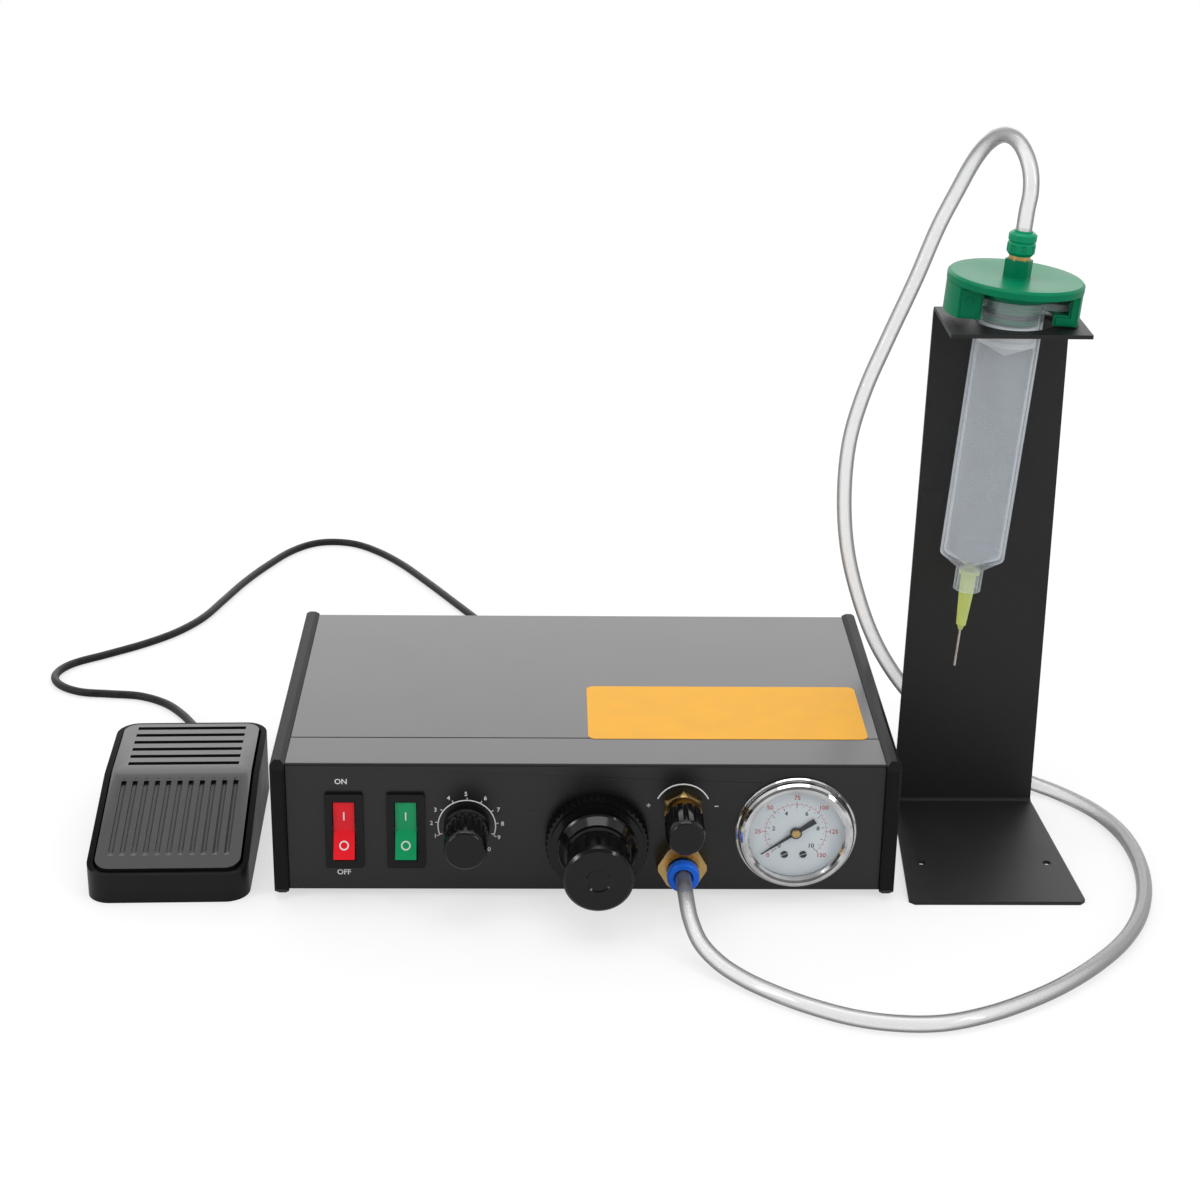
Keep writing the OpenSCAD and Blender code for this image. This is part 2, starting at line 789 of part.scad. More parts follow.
// Hexagon nuts on the potentiometer's bush and on the outlet's thread
module panel_lock_nuts() {
  color("#b9a15a") {
    out_at(time_x, time_z)
      difference() {
        hex(0, 2.4, 11);
        rod(-over, 4, pot_bush_r + slip);
      }
    out_at(outlet_x, outlet_z)
      difference() {
        hex(-panel_t - 4, -panel_t, fitting_af - 1);
        rod(-panel_t - 5, 0, fitting_af / 2 - 2.6 + slip);
      }
  }
}

// The shaft that the timer knob sits on
module time_shaft() {
  color("#b9bcc0")
    out_at(time_x, time_z)
      rod(-panel_t - 5.6, time_reach - 3.2, pot_shaft_r);
}

// Cuts a ring of grooves along a knob's side
module flutes(count, radius, cut_r, low, high) {
  for (k = [0 : count - 1])
    rotate([0, 0, k * 360 / count])
      translate([radius, 0, low])
        cylinder(h = high - low, r = cut_r, $fn = 24);
}

// The timer knob: a skirt, a fluted body and a flat face
module time_knob() {
  grip_r = time_face_r + 0.4;
  color("#202122")
    out_at(time_x, time_z)
      difference() {
        rotate_extrude()
          polygon([[0, 1.2], [time_skirt_r, 1.2], [time_skirt_r, 3], [grip_r, 3.8],
            [grip_r, time_reach - 1.4], [time_face_r, time_reach - 0.4],
            [time_face_r - 0.5, time_reach], [0, time_reach]]);
        rod(0, 6.2, 6.8);
        rod(6, time_reach - 3, pot_shaft_r + run);
        flutes(18, grip_r + 0.5, 0.8, 5, time_reach - 2.2);
      }
}

// The regulator behind the panel, with its threaded neck and spring chamber
module regulator_body() {
  color("#3b3d40")
    out_at(reg_x, reg_z)
      difference() {
        union() {
          rod(reg_front, 6, neck_r);
          translate([0, 0, reg_back])
            linear_extrude(reg_front - reg_back)
              rounded_rect(2 * reg_half, 2 * reg_half, 4);
        }
        rod(-30, 7, neck_r - 4);
      }
}

// The toothed ring nut that clamps the regulator to the panel
module regulator_ring_nut() {
  teeth = 48;
  half = 360 / teeth / 2;
  tooth_h = 0.9;
  rim = [for (k = [0 : 2 * teeth - 1]) (ring_r - (k % 2) * tooth_h) * [cos(k * half), sin(k * half)]];
  color("#232425")
    out_at(reg_x, reg_z)
      difference() {
        union() {
          linear_extrude(ring_t - 1.4)
            polygon(rim);
          rod(0, ring_t, ring_r - tooth_h - 0.9);
        }
        rod(-over, ring_t + over, neck_r + slip);
      }
}

// The tapered cap on the regulator's neck
module regulator_bonnet() {
  color("#28292a")
    out_at(reg_x, reg_z)
      difference() {
        rotate_extrude()
          polygon([[0, 6], [neck_r, 6], [neck_r, ring_t + 1], [neck_r - 0.6, ring_t + 1.6],
            [neck_r - 2.4, bonnet_front], [0, bonnet_front]]);
        rod(0, bonnet_front + over, 3 + run);
      }
}

// The adjusting screw: a spring plate, a round shank and a hexagonal drive
module regulator_screw() {
  color("#b9bcc0")
    out_at(reg_x, reg_z) {
      rod(2, 4, neck_r - 6);
      rod(-6, bonnet_front + 1, 3);
      hex(bonnet_front + 0.5, drive_top, reg_drive_af);
    }
}

// The regulator's knob: a fluted waist that flares to a rim
module regulator_knob() {
  back = bonnet_front + gap;
  waist = reg_knob_r - 1.5;
  color("#242526")
    out_at(reg_x, reg_z)
      difference() {
        rotate_extrude()
          polygon([[0, back], [waist + 0.6, back], [waist + 0.6, back + 0.8], [waist, back + 1.6],
            [waist, reg_reach - 7], [reg_knob_r - 0.7, reg_reach - 4.6],
            [reg_knob_r, reg_reach - 3.6], [reg_knob_r, reg_reach - 1],
            [reg_knob_r - 1, reg_reach], [4.8, reg_reach], [4.2, reg_reach - 0.5],
            [0, reg_reach - 0.5]]);
        hex(back - over, drive_top + gap, reg_drive_af + 0.4);
        flutes(16, waist + 0.5, 1, back + 1.8, reg_reach - 6.4);
      }
}

// The vacuum valve's body behind the panel, with its threaded nose
module vacuum_valve_body() {
  nose = spindle_r + 2.2;
  color("#c8a24a")
    out_at(outlet_x, vac_z)
      difference() {
        union() {
          rod(-18, -panel_t, 7.5);
          rod(-panel_t, 6, nose);
          rod(-24, -18, 3.2);
        }
        rod(-12, 7, spindle_r + run);
      }
}

// The brass nut that holds the vacuum valve
module vacuum_nut() {
  color("#c98f55")
    out_at(outlet_x, vac_z)
      difference() {
        intersection() {
          rotate([0, 0, 30])
            hex(0, 4, vac_nut_af);
          cylinder(h = 4, r1 = vac_nut_af / sqrt(3) + 0.4, r2 = vac_nut_af / 2);
        }
        rod(-over, 5, spindle_r + 2.2 + slip);
      }
}

// The needle valve's spindle
module vacuum_spindle() {
  color("#c8a24a")
    out_at(outlet_x, vac_z) {
      rod(-8, vac_reach - 3, spindle_r);
      translate([0, 0, -11.5])
        cylinder(h = 3.5, r1 = 0.5, r2 = spindle_r);
    }
}

// The fluted vacuum knob
module vacuum_knob() {
  back = vac_reach - vac_knob_l;
  color("#1d1e1f")
    out_at(outlet_x, vac_z)
      difference() {
        rotate_extrude()
          polygon([[0, back], [vac_knob_r, back], [vac_knob_r, vac_reach - 2.4],
            [vac_knob_r - 0.7, vac_reach - 0.5], [vac_knob_r - 1.2, vac_reach], [0, vac_reach]]);
        rod(back - over, vac_reach - 3 + gap, spindle_r + run);
        flutes(12, vac_knob_r + 0.45, 1.15, back - over, vac_reach - 1.9);
      }
}

// The brass outlet fitting: hexagon, boss, thread and the bore for the hose
module output_fitting() {
  color("#c9a244")
    out_at(outlet_x, outlet_z)
      difference() {
        union() {
          intersection() {
            hex(0, fitting_t, fitting_af);
            cylinder(h = fitting_t, r1 = fitting_af * 0.66, r2 = fitting_af * 0.54);
          }
          rod(fitting_t, fitting_t + 3, collar_r + 0.5);
          rod(-18, 0, fitting_af / 2 - 2.6);
        }
        rod(-0.5, fitting_t + 4, hose_r + run);
        rod(3.2, fitting_t + 4, hose_r + 1.1);
      }
}

// The release collar around the hose
module release_collar() {
  low = fitting_t + 3 + collar_push + gap;
  color("#2f6fe0")
    out_at(outlet_x, outlet_z)
      difference() {
        union() {
          rod(3.2 + collar_push + gap, low + 1, hose_r + 1);
          rotate_extrude()
            polygon([[hose_r + 0.5, low], [collar_r, low], [collar_r, low + 3],
              [collar_r - 0.5, low + 3.6], [hose_r + 0.8, low + 3.6], [hose_r + 0.5, low + 3]]);
        }
        rod(0, low + 5, hose_r + 0.2);
      }
}

// The gauge's case behind the panel, with its connection at the back
module gauge_case() {
  color("#17181a")
    out_at(gauge_x, gauge_z)
      difference() {
        union() {
          rod(-gauge_depth, 0, gauge_case_r);
          hex(-gauge_depth - 8, -gauge_depth, 12);
          rod(-gauge_depth - 14, -gauge_depth - 8, 4.8);
        }
        rod(2 - gauge_depth, over, gauge_case_r - 1.3);
      }
}

// The chromed bezel, rolled over the glass
module gauge_bezel() {
  f = gauge_reach;
  color("#d8dadd")
    out_at(gauge_x, gauge_z)
      rotate_extrude($fn = 128)
        polygon([[gauge_case_r - 1.3, 0], [gauge_r, 0], [gauge_r, 0.9], [gauge_r - 0.35, 1.5],
          [gauge_r - 0.9, 1.8], [gauge_r - 1.2, f - 1.9], [gauge_r - 1.8, f - 0.8],
          [gauge_r - 2.7, f - 0.2], [gauge_r - 3.6, f], [dial_r + 0.7, f - 0.5],
          [dial_r, f - 1.4], [dial_r, f - 1.7], [gauge_case_r - 1.3, f - 1.7]]);
}

// The printed dial plate
module gauge_dial() {
  color("#dfeaf0")
    out_at(gauge_x, gauge_z)
      difference() {
        rod(-0.6, 0, gauge_case_r - 1.4);
        rod(-over, over, 0.6);
      }
}

// The glass of the gauge
module gauge_lens() {
  color([0.8, 0.9, 1, 0.3])
    out_at(gauge_x, gauge_z)
      rod(gauge_reach - 1.7 - glass_t, gauge_reach - 1.7, gauge_case_r - 1.4);
}

// The gauge's movement: a block, a curved pressure tube and the post that carries the dial
module gauge_movement() {
  color("#b08d57")
    out_at(gauge_x, gauge_z)
      difference() {
        union() {
          translate([0, -9, 2 - gauge_depth])
            linear_extrude(gauge_depth - 6)
              square([12, 12], center = true);
          translate([0, 0, -11])
            rotate([0, 0, -70])
              rotate_extrude(angle = 290)
                translate([14, 0])
                  square([1.6, 6], center = true);
          rod(-14, -0.6, 2.4);
          translate([0, -6, -13])
            cube([4, 14, 2], center = true);
        }
        rod(-8, over, 0.6);
      }
}

// The pointer with its counterweight, hub and spindle, resting at the low end of the scale
module gauge_pointer() {
  low = 0.7;
  color("#202226")
    out_at(gauge_x, gauge_z) {
      rotate([0, 0, 215.5]) {
        translate([0, 0, low])
          linear_extrude(0.5)
            polygon([[-8.6, 1.1], [-2, 0.8], [2, 0.6], [pointer_l, 0.12], [pointer_l, -0.12],
              [2, -0.6], [-2, -0.8], [-8.6, -1.1]]);
      }
      rod(low, low + 1.1, 2.2);
      rod(-7, low, 0.55);
    }
}

// The mains inlet with its fuse drawer below the socket
module mains_inlet() {
  color("#1a1a1b")
    back_at(inlet_x, switch_z) {
      for (p = [[-7, -6.5], [0, -2.5], [7, -6.5]])
        translate([p[0], p[1], -15])
          linear_extrude(9)
            square([2, 4], center = true);
      difference() {
        union() {
          linear_extrude(2.5)
            rounded_rect(44, 36, 3);
          translate([0, 0, -21])
            linear_extrude(21)
              square([27, 31], center = true);
        }
        translate([0, -5, -14])
          linear_extrude(20)
            bevelled_rect(24, 16, 3);
        translate([0, 9.5, 1])
          linear_extrude(3)
            difference() {
              square([24, 10], center = true);
              square([23, 9], center = true);
            }
        for (x = [-18, 18])
          translate([x, 0, 0])
            rod(-over, 4, 1.6);
      }
    }
}

// The supply fitting at the back, with a bore for the compressed air tube
module air_inlet_fitting() {
  color("#c9a244")
    back_at(reg_x, reg_z)
      difference() {
        union() {
          hex(0, 5, 14);
          rod(5, 13, 6.4);
          rod(-14, 0, 5.5);
        }
        rod(-2, 14, supply_bore_r);
      }
}

// The sintered exhaust muffler
module exhaust_muffler() {
  color("#b3925a")
    back_at(muffler_x, outlet_z)
      difference() {
        union() {
          rod(-10, 0, 4.8);
          hex(0, 5, 13);
          rod(5, muffler_l - 4, 5.4);
          translate([0, 0, muffler_l - 4])
            cylinder(h = 4, r1 = 5.4, r2 = 2.6);
        }
        for (z = [8 : 4 : muffler_l - 8])
          translate([0, 0, z])
            difference() {
              cylinder(h = 1.2, r = 7);
              cylinder(h = 1.2, r = 4.9);
            }
      }
}

// The round socket for the foot switch
module foot_switch_socket() {
  color("#a9acb0")
    back_at(socket_x, socket_z) {
      rod(-12, 0, 6);
      rod(0, 2, 8.5);
      rod(2, 8, 5.6);
    }
}

// The plug on the pedal's cable, with its knurled ring and tapered boot
module foot_switch_plug() {
  boot = plug_end - rear_y;
  color("#3a3c3f")
    back_at(socket_x, socket_z)
      difference() {
        union() {
          rod(2, 13, 7.4);
          rod(13, 26, 6.2);
          translate([0, 0, 26])
            cylinder(h = boot - 26, r1 = 4.2, r2 = 2.6);
        }
        rod(1, 8 + gap, 5.6 + slip);
        flutes(24, 7.5, 0.4, 3, 12);
      }
}

// Height of the pedal plate's top along the pedal
function plate_top(y) = y < ridge_y
  ? plate_front_z + (pedal_ridge_h - plate_front_z) * (y + pedal_l / 2 - 4) / (ridge_y + pedal_l / 2 - 4)
  : pedal_ridge_h + (pedal_back_h - pedal_ridge_h) * (y - ridge_y) / (pedal_l / 2 - ridge_y);

// A band under the pedal plate's top line, from one depth to another
module plate_band(from, to) {
  ends = [-pedal_l, ridge_y, pedal_l];
  polygon(concat([for (y = ends) [y, plate_top(y) - from]],
    [for (i = [2 : -1 : 0]) [ends[i], plate_top(ends[i]) - to]]));
}

// The pedal's base: a tub whose rim follows the slope of the plate
module pedal_base() {
  inner_w = pedal_w - 2 * pedal_wall;
  inner_l = pedal_l - 2 * pedal_wall;
  color("#222325")
    at_pedal()
      difference() {
        union() {
          difference() {
            intersection() {
              linear_extrude(pedal_back_h + 2)
                rounded_rect(pedal_w, pedal_l, 9);
              union() {
                along_x(pedal_w + 2)
                  plate_band(1.1, pedal_back_h + 20);
                translate([0, 0, pedal_front_h / 2])
                  cube([pedal_w + 2, pedal_l + 2, pedal_front_h], center = true);
              }
            }
            translate([0, 0, pedal_floor])
              linear_extrude(pedal_back_h)
                rounded_rect(inner_w, inner_l, 9 - pedal_wall);
          }
          for (side = [-1, 1])
            translate([side * 23.1, hinge_y, pedal_floor + 8.2])
              cube([3.2, 9, 16.8], center = true);
          translate([0, spring_y, 0])
            rod(pedal_floor - 1, pedal_floor + 1.5, 2.8);
        }
        translate([0, hinge_y, hinge_z])
          rotate([0, 90, 0])
            cylinder(h = pedal_w - 2 * pedal_wall - 5, r = pedal_pin_r + run, center = true);
        translate([0, pedal_l / 2, 8])
          rotate([90, 0, 0])
            cylinder(h = 12, r = 3.3 + slip, center = true);
      }
}

// The pedal plate: a sloped top with grooves, a skirt, hinge lugs and a spring pad
module pedal_plate() {
  w = pedal_w - 2 * pedal_wall - 2 * pedal_gap;
  l = pedal_l - 2 * pedal_wall - 2 * pedal_gap;
  groove_w = w - 11;
  step = groove_w / (long_grooves - 1);
  mid_y = ridge_y - 26.5;
  slope = atan2(pedal_ridge_h - plate_front_z, ridge_y + pedal_l / 2 - 4);
  striker_low = plunger_top + gap + (hinge_y - switch_at_y) * sin(pedal_swing);
  color("#2a2b2d")
    at_pedal()
      difference() {
        union() {
          intersection() {
            linear_extrude(pedal_back_h + 2)
              rounded_rect(w, l, 6);
            along_x(w + 2)
              plate_band(0, plate_t2);
          }
          intersection() {
            linear_extrude(pedal_back_h + 2)
              difference() {
                rounded_rect(w, l, 6);
                rounded_rect(w - 2 * skirt_t, l - 2 * skirt_t, 6 - skirt_t);
              }
            along_x(w + 2)
              plate_band(1, skirt_h);
          }
          for (side = [-1, 1])
            translate([side * 19.3, hinge_y, (hinge_z - 3.5 + pedal_ridge_h - 1) / 2])
              cube([3.8, 8, pedal_ridge_h - 1 - hinge_z + 3.5], center = true);
          translate([0, spring_y, 0])
            rod(spring_top, plate_top(spring_y) - 1.2, 4.6);
          translate([0, switch_at_y, 0])
            rod(striker_low, plate_top(switch_at_y) - 1.2, striker_r);
        }
        translate([0, hinge_y, hinge_z])
          rotate([0, 90, 0])
            cylinder(h = pedal_w, r = pedal_pin_r + run, center = true);
        for (k = [0 : cross_grooves - 1])
          translate([0, pedal_l / 2 - 7 - 6 * k, plate_top(pedal_l / 2 - 7 - 6 * k)])
            cube([groove_w, 2.4, 2.4], center = true);
        for (k = [0 : long_grooves - 1])
          translate([(k - (long_grooves - 1) / 2) * step, mid_y, plate_top(mid_y)])
            rotate([slope, 0, 0])
              cube([2, 42, 2.2], center = true);
      }
}

// The pin that the pedal plate turns on
module pedal_hinge_pin() {
  color("#b9bcc0")
    at_pedal()
      translate([0, hinge_y, hinge_z])
        rotate([0, 90, 0])
          cylinder(h = 50, r = pedal_pin_r, center = true);
}

// The return spring under the pedal plate
module pedal_spring() {
  turns = 5;
  steps = 10;
  low = pedal_floor + 0.5;
  high = spring_top - 0.5;
  coil = [for (i = [0 : turns * steps])
    [3.6 * cos(i * 360 / steps), 3.6 * sin(i * 360 / steps), low + (high - low) * i / (turns * steps)]];
  color("#c4c7ca")
    at_pedal()
      translate([0, spring_y, 0])
        tube(coil, 0.45, 6);
}

// The microswitch that the pedal plate closes
module pedal_microswitch() {
  color("#303236")
    at_pedal()
      translate([0, switch_at_y, 0]) {
        translate([0, 4, (pedal_floor + plunger_top - 1.2) / 2])
          cube([8, 20, plunger_top - 1.2 - pedal_floor], center = true);
        translate([0, 0, plunger_top - 1])
          cube([4, 3, 2], center = true);
      }
}

// The tapered gland where the cable leaves the pedal
module pedal_cable_gland() {
  color("#19191a")
    at_pedal()
      translate([0, pedal_l / 2, 8])
        rotate([-90, 0, 0]) {
          rod(-pedal_wall, 0, 3.3);
          rod(-pedal_wall - 2, -pedal_wall, 4.6);
          translate([0, 0, 0])
            cylinder(h = 13, r1 = 3.3, r2 = 2.3);
        }
}

// The pedal's cable, which lies on the bench behind the controller
module pedal_cable() {
  color("#18181a")
    tube(concat(cable_points, [[socket_x, plug_end, socket_z]]), cable_r, 8);
}

// The section of the stand: base, riser and flange with rounded bends
module stand_section() {
  y_base = stand_rear_y - stand_base_d;
  y_flange = stand_rear_y - stand_flange_d;
  translate([y_base, 0])
    square([stand_base_d - bend_r, stand_t]);
  translate([stand_rear_y - stand_t, bend_r])
    square([stand_t, stand_h - 2 * bend_r]);
  translate([y_flange, stand_h - stand_t])
    square([stand_flange_d - bend_r, stand_t]);
  for (s = [[bend_r, -1], [stand_h - bend_r, 1]])
    translate([stand_rear_y - bend_r, s[0]])
      intersection() {
        difference() {
          circle(bend_r, $fn = 48);
          circle(bend_r - stand_t, $fn = 48);
        }
        translate([0, min(0, s[1] * bend_r)])
          square([bend_r, bend_r]);
      }
}

// The stand, cut from one tapered sheet and bent twice
module syringe_stand() {
  half_front = stand_front_w / 2;
  half_bend = stand_bend_w / 2;
  half_flange = stand_flange_w / 2;
  y_base = stand_rear_y - stand_base_d;
  color("#2c2d2f")
    translate([stand_x, 0, 0])
      difference() {
        intersection() {
          along_x(stand_front_w + 2)
            stand_section();
          translate([0, stand_rear_y + over, 0])
            rotate([90, 0, 0])
              linear_extrude(stand_base_d + 2 * over)
                polygon([[-half_front - 1, -1], [half_front + 1, -1], [half_front + 1, stand_t],
                  [half_bend, stand_t + 0.6], [half_flange, stand_h + 1], [-half_flange, stand_h + 1],
                  [-half_bend, stand_t + 0.6], [-half_front - 1, stand_t]]);
          translate([0, 0, -1])
            linear_extrude(stand_h + 2)
              polygon([[2 - half_front, y_base], [half_front - 2, y_base], [half_front, y_base + 2],
                [half_bend, stand_rear_y], [-half_bend, stand_rear_y], [-half_front, y_base + 2]]);
        }
        for (side = [-1, 1])
          translate([side * base_hole_gap / 2, -46.5, 0])
            rod(-over, stand_t + over, base_hole_r);
        translate([syringe_x - stand_x + stand_hole_r - barrel_r - 0.6, syringe_y, 0])
          rod(stand_h - stand_t - over, stand_h + over, stand_hole_r);
      }
}

// The barrel: ears, bore, outlet cone and the neck that locks the needle
module syringe_barrel() {
  color([0.85, 0.88, 0.9, 0.5])
    on_syringe()
      difference() {
        union() {
          rod(-barrel_l, barrel_top, barrel_r);
          translate([0, 0, -barrel_l - cone_h])
            cylinder(h = cone_h, r1 = luer_r, r2 = barrel_r);
          rod(neck_low, neck_top, luer_r);
          translate([0, 0, ear_low])
            linear_extrude(ear_t)
              union() {
                circle(barrel_r + 1);
                rounded_rect(2 * (adapter_r - 4.5), 16, 4);
              }
        }
        rod(-barrel_l + 1, barrel_top + over, bore_r);
        translate([0, 0, neck_top + 0.6])
          cylinder(h = cone_h + 0.41, r1 = 1, r2 = bore_r);
        difference() {
          rod(neck_low - over, neck_top - 0.8, luer_r - 1.2);
          translate([0, 0, neck_low + 0.8])
            cylinder(h = luer_l, r1 = 1.95, r2 = 2.15);
        }
        rod(neck_low, neck_top + 2, 1);
      }
}

// The piston that pushes the glue, with two wiping rims
module syringe_piston() {
  r = bore_r - 0.07;
  low = piston_top - piston_l;
  color("#eef0f0")
    on_syringe()
      rotate_extrude()
        polygon([[0, low - piston_cone], [r, low], [r, low + 2], [r - 0.5, low + 2.5],
          [r - 0.5, piston_top - 2.5], [r, piston_top - 2], [r, piston_top], [r - 1.6, piston_top],
          [r - 2.4, low + 2], [0, low + 0.6]]);
}

// The adapter's wings: walls with lips under the barrel's ears, each closed at one end
module adapter_wings() {
  wing_r = adapter_r - 0.2;
  lip_r = adapter_r - 7.8;
  wall_r = adapter_r - 3.4;
  span = disc_low - wing_low;
  difference() {
    intersection() {
      rod(wing_low, disc_low + 1, wing_r);
      translate([-adapter_r, -wing_w / 2, wing_low])
        cube([2 * adapter_r, wing_w, span + 1]);
    }
    rod(wing_low - over, disc_low, lip_r);
    for (turn = [0, 180])
      rotate([0, 0, turn])
        intersection() {
          rod(wing_low + wing_lip, disc_low, wall_r);
          translate([0, -wing_w, wing_low])
            cube([adapter_r, 1.5 * wing_w - 3, span + 1]);
        }
  }
}

// The adapter: a disc with two wings that turn under the barrel's ears, and a plug
module adapter_cap() {
  plug_r = bore_r - 0.4;
  color("#0e7d4f")
    on_syringe()
      difference() {
        union() {
          rotate_extrude($fn = 96)
            polygon([[0, disc_low], [adapter_r, disc_low], [adapter_r, disc_top - 0.9],
              [adapter_r - 0.9, disc_top], [adapter_r - 3.4, disc_top], [6, disc_top - 0.6],
              [0, disc_top - 0.6]]);
          rod(barrel_top + gap, disc_low, 13.4);
          rotate_extrude()
            polygon([[0, plug_low], [plug_r - 0.6, plug_low], [plug_r, plug_low + 0.6],
              [plug_r, plug_low + 2], [plug_r - 1.2, plug_low + 2], [plug_r - 1.2, plug_low + 4.2],
              [plug_r, plug_low + 4.2], [plug_r, barrel_top + 1], [0, barrel_top + 1]]);
          hex(disc_top - 1, hex_top, adapter_hex_af);
          adapter_wings();
        }
        rod(-over, hex_top + over, 1.5);
        rod(hex_top - 4, hex_top + over, 2.4 + slip);
      }
}

// The seal ring in the plug's groove
module adapter_seal_ring() {
  color("#151515")
    on_syringe()
      rotate_extrude()
        translate([bore_r - run - 0.75, plug_low + 3.1])
          circle(0.75, $fn = 32);
}

// The brass insert between the adapter and the hose coupling
module hose_barb() {
  color("#c9a244")
    on_syringe()
      difference() {
        union() {
          rod(hex_top - 4, hex_top, 2.4);
          rod(hex_top, coupling_low, 4);
          rod(coupling_low, coupling_top - 0.5, 2);
        }
        rod(hex_top - 5, coupling_top, 1.2);
      }
}

// The green coupling that grips the hose
module hose_coupling() {
  r = coupling_r;
  low = coupling_low;
  color("#10a066")
    on_syringe()
      difference() {
        union() {
          rotate_extrude()
            polygon([[2.1, low], [r - 1, low], [r, low + 1.2], [r, low + 4.4], [r - 0.5, low + 5],
              [r, low + 5.6], [r, coupling_top - 1.4], [r - 0.9, coupling_top - 0.6],
              [hose_r + 0.5, coupling_top - 0.6], [hose_r + 0.5, coupling_top], [2.1, coupling_top]]);
        }
        flutes(8, r + 0.5, 1.1, low + 1.4, low + 4.2);
      }
}

// The needle's hub, held in the neck
module needle_hub() {
  top = neck_top - 1.2;
  color("#c9dd5a")
    on_syringe()
      difference() {
        rotate_extrude()
          polygon([[0, hub_low - 2.2], [needle_r + 0.35, hub_low - 2.2], [1.5, hub_low],
            [1.9, hub_low], [2.9, neck_low - 1], [2.95, top - 1], [luer_r - 1.3, top - 1],
            [luer_r - 1.3, top], [0, top]]);
        translate([0, 0, neck_low + 0.5])
          cylinder(h = top - neck_low, r1 = 2.05, r2 = 2.3);
        rod(hub_low - 3, top, needle_r + run);
      }
}

// The steel needle
module needle_tube() {
  color("#c4c7ca")
    on_syringe()
      difference() {
        rod(hub_low - 2.2 - needle_l, neck_low - 4, needle_r);
        rod(hub_low - 3 - needle_l, neck_low, needle_r * 0.6);
      }
}

// The air hose from the outlet round the stand to the syringe
module air_hose() {
  lean = [sin(syringe_lean), 0, cos(syringe_lean)];
  end = [syringe_x, syringe_y, stand_h] + (coupling_top + slip) * lean;
  color([0.9, 0.92, 0.94, 0.5])
    tube(concat(hose_points, [end]), hose_r, 10);
}

left_end_plate();
right_end_plate();
front_panel();
top_cover();
bottom_tray();
rear_panel();
rubber_feet();
end_plate_screws();
circuit_board();
mains_transformer();
solenoid_valve();
vacuum_ejector();
inner_air_lines();
power_switch_housing();
power_rocker();
mode_switch_housing();
mode_rocker();
time_potentiometer();
panel_lock_nuts();
time_shaft();
time_knob();
regulator_body();
regulator_ring_nut();
regulator_bonnet();
regulator_screw();
regulator_knob();
vacuum_valve_body();
vacuum_nut();
vacuum_spindle();
vacuum_knob();
output_fitting();
release_collar();
gauge_case();
gauge_bezel();
gauge_dial();
gauge_lens();
gauge_movement();
gauge_pointer();
mains_inlet();
air_inlet_fitting();
exhaust_muffler();
foot_switch_socket();
foot_switch_plug();
pedal_base();
pedal_plate();
pedal_hinge_pin();
pedal_spring();
pedal_microswitch();
pedal_cable_gland();
pedal_cable();
syringe_stand();
syringe_barrel();
syringe_piston();
adapter_cap();
adapter_seal_ring();
hose_barb();
hose_coupling();
needle_hub();
needle_tube();
air_hose();
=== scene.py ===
"""Looks of a pneumatic glue dispenser: finishes, printed marks, cords, light and camera."""

import json
import math

import bmesh
import bpy
from mathutils import Matrix, Vector


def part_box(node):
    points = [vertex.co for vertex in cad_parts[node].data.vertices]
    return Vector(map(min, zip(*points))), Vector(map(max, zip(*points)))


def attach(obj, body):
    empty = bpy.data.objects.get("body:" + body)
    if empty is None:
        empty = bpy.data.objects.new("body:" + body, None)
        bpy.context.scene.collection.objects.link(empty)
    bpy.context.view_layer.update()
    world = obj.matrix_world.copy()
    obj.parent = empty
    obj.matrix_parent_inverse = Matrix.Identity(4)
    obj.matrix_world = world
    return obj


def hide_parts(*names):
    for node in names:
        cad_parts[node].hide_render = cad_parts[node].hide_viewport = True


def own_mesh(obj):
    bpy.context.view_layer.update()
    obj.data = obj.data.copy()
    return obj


MM = 0.001
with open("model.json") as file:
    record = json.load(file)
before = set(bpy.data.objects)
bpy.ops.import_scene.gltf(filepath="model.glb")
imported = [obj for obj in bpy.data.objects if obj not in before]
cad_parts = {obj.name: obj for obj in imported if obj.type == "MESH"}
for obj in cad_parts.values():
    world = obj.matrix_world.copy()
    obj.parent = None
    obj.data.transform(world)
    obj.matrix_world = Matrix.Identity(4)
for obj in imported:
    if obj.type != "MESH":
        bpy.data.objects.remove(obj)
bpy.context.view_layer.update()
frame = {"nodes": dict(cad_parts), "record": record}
nodes = frame["nodes"]

# Camera, in the object's frame: millimetres and degrees
CAMERA_PLACE = (-17.0, -838.0, 439.5)
CAMERA_YAW = 1.57
CAMERA_PITCH = 22.46
CAMERA_ROLL = 0.88
CAMERA_LENS = 69.03
SENSOR_WIDTH = 36.0

# The surround: its light on things, its brightness in front as reflections see it,
# and the headings along Y between which it turns from shaded to bright
SURROUND_LIGHT = 0.75
FRONT_SHADE = 0.15
SHADED_UP_TO = -0.6
BRIGHT_FROM = 0.5
# Each light's place and aim, its width and height in metres, and its watts
LIGHTS = {
    "back_softbox": ((0.0, 2.2, 1.2), (0, 0, 0.1), (3.2, 1.6), 15),
    "top_softbox": ((0.0, 0.1, 1.9), (0, 0, 0), (1.6, 0.8), 9),
    "left_strip": ((-1.3, -0.7, 0.7), (0.1, 0, 0.12), (0.12, 1.1), 5),
    "right_strip": ((1.2, -1.0, 0.8), (0.1, 0, 0.12), (0.12, 1.1), 5),
}
# The floor: half its size, its glow, its share in reflections, and the distances from the middle
# between which it turns to plain white for the eye, with sizes in metres
FLOOR_HALF = 9.0
FLOOR_GLOW = 0.6
FLOOR_MIRRORED = 0.3
FLOOR_NEAR = 0.9
FLOOR_FAR = 1.8

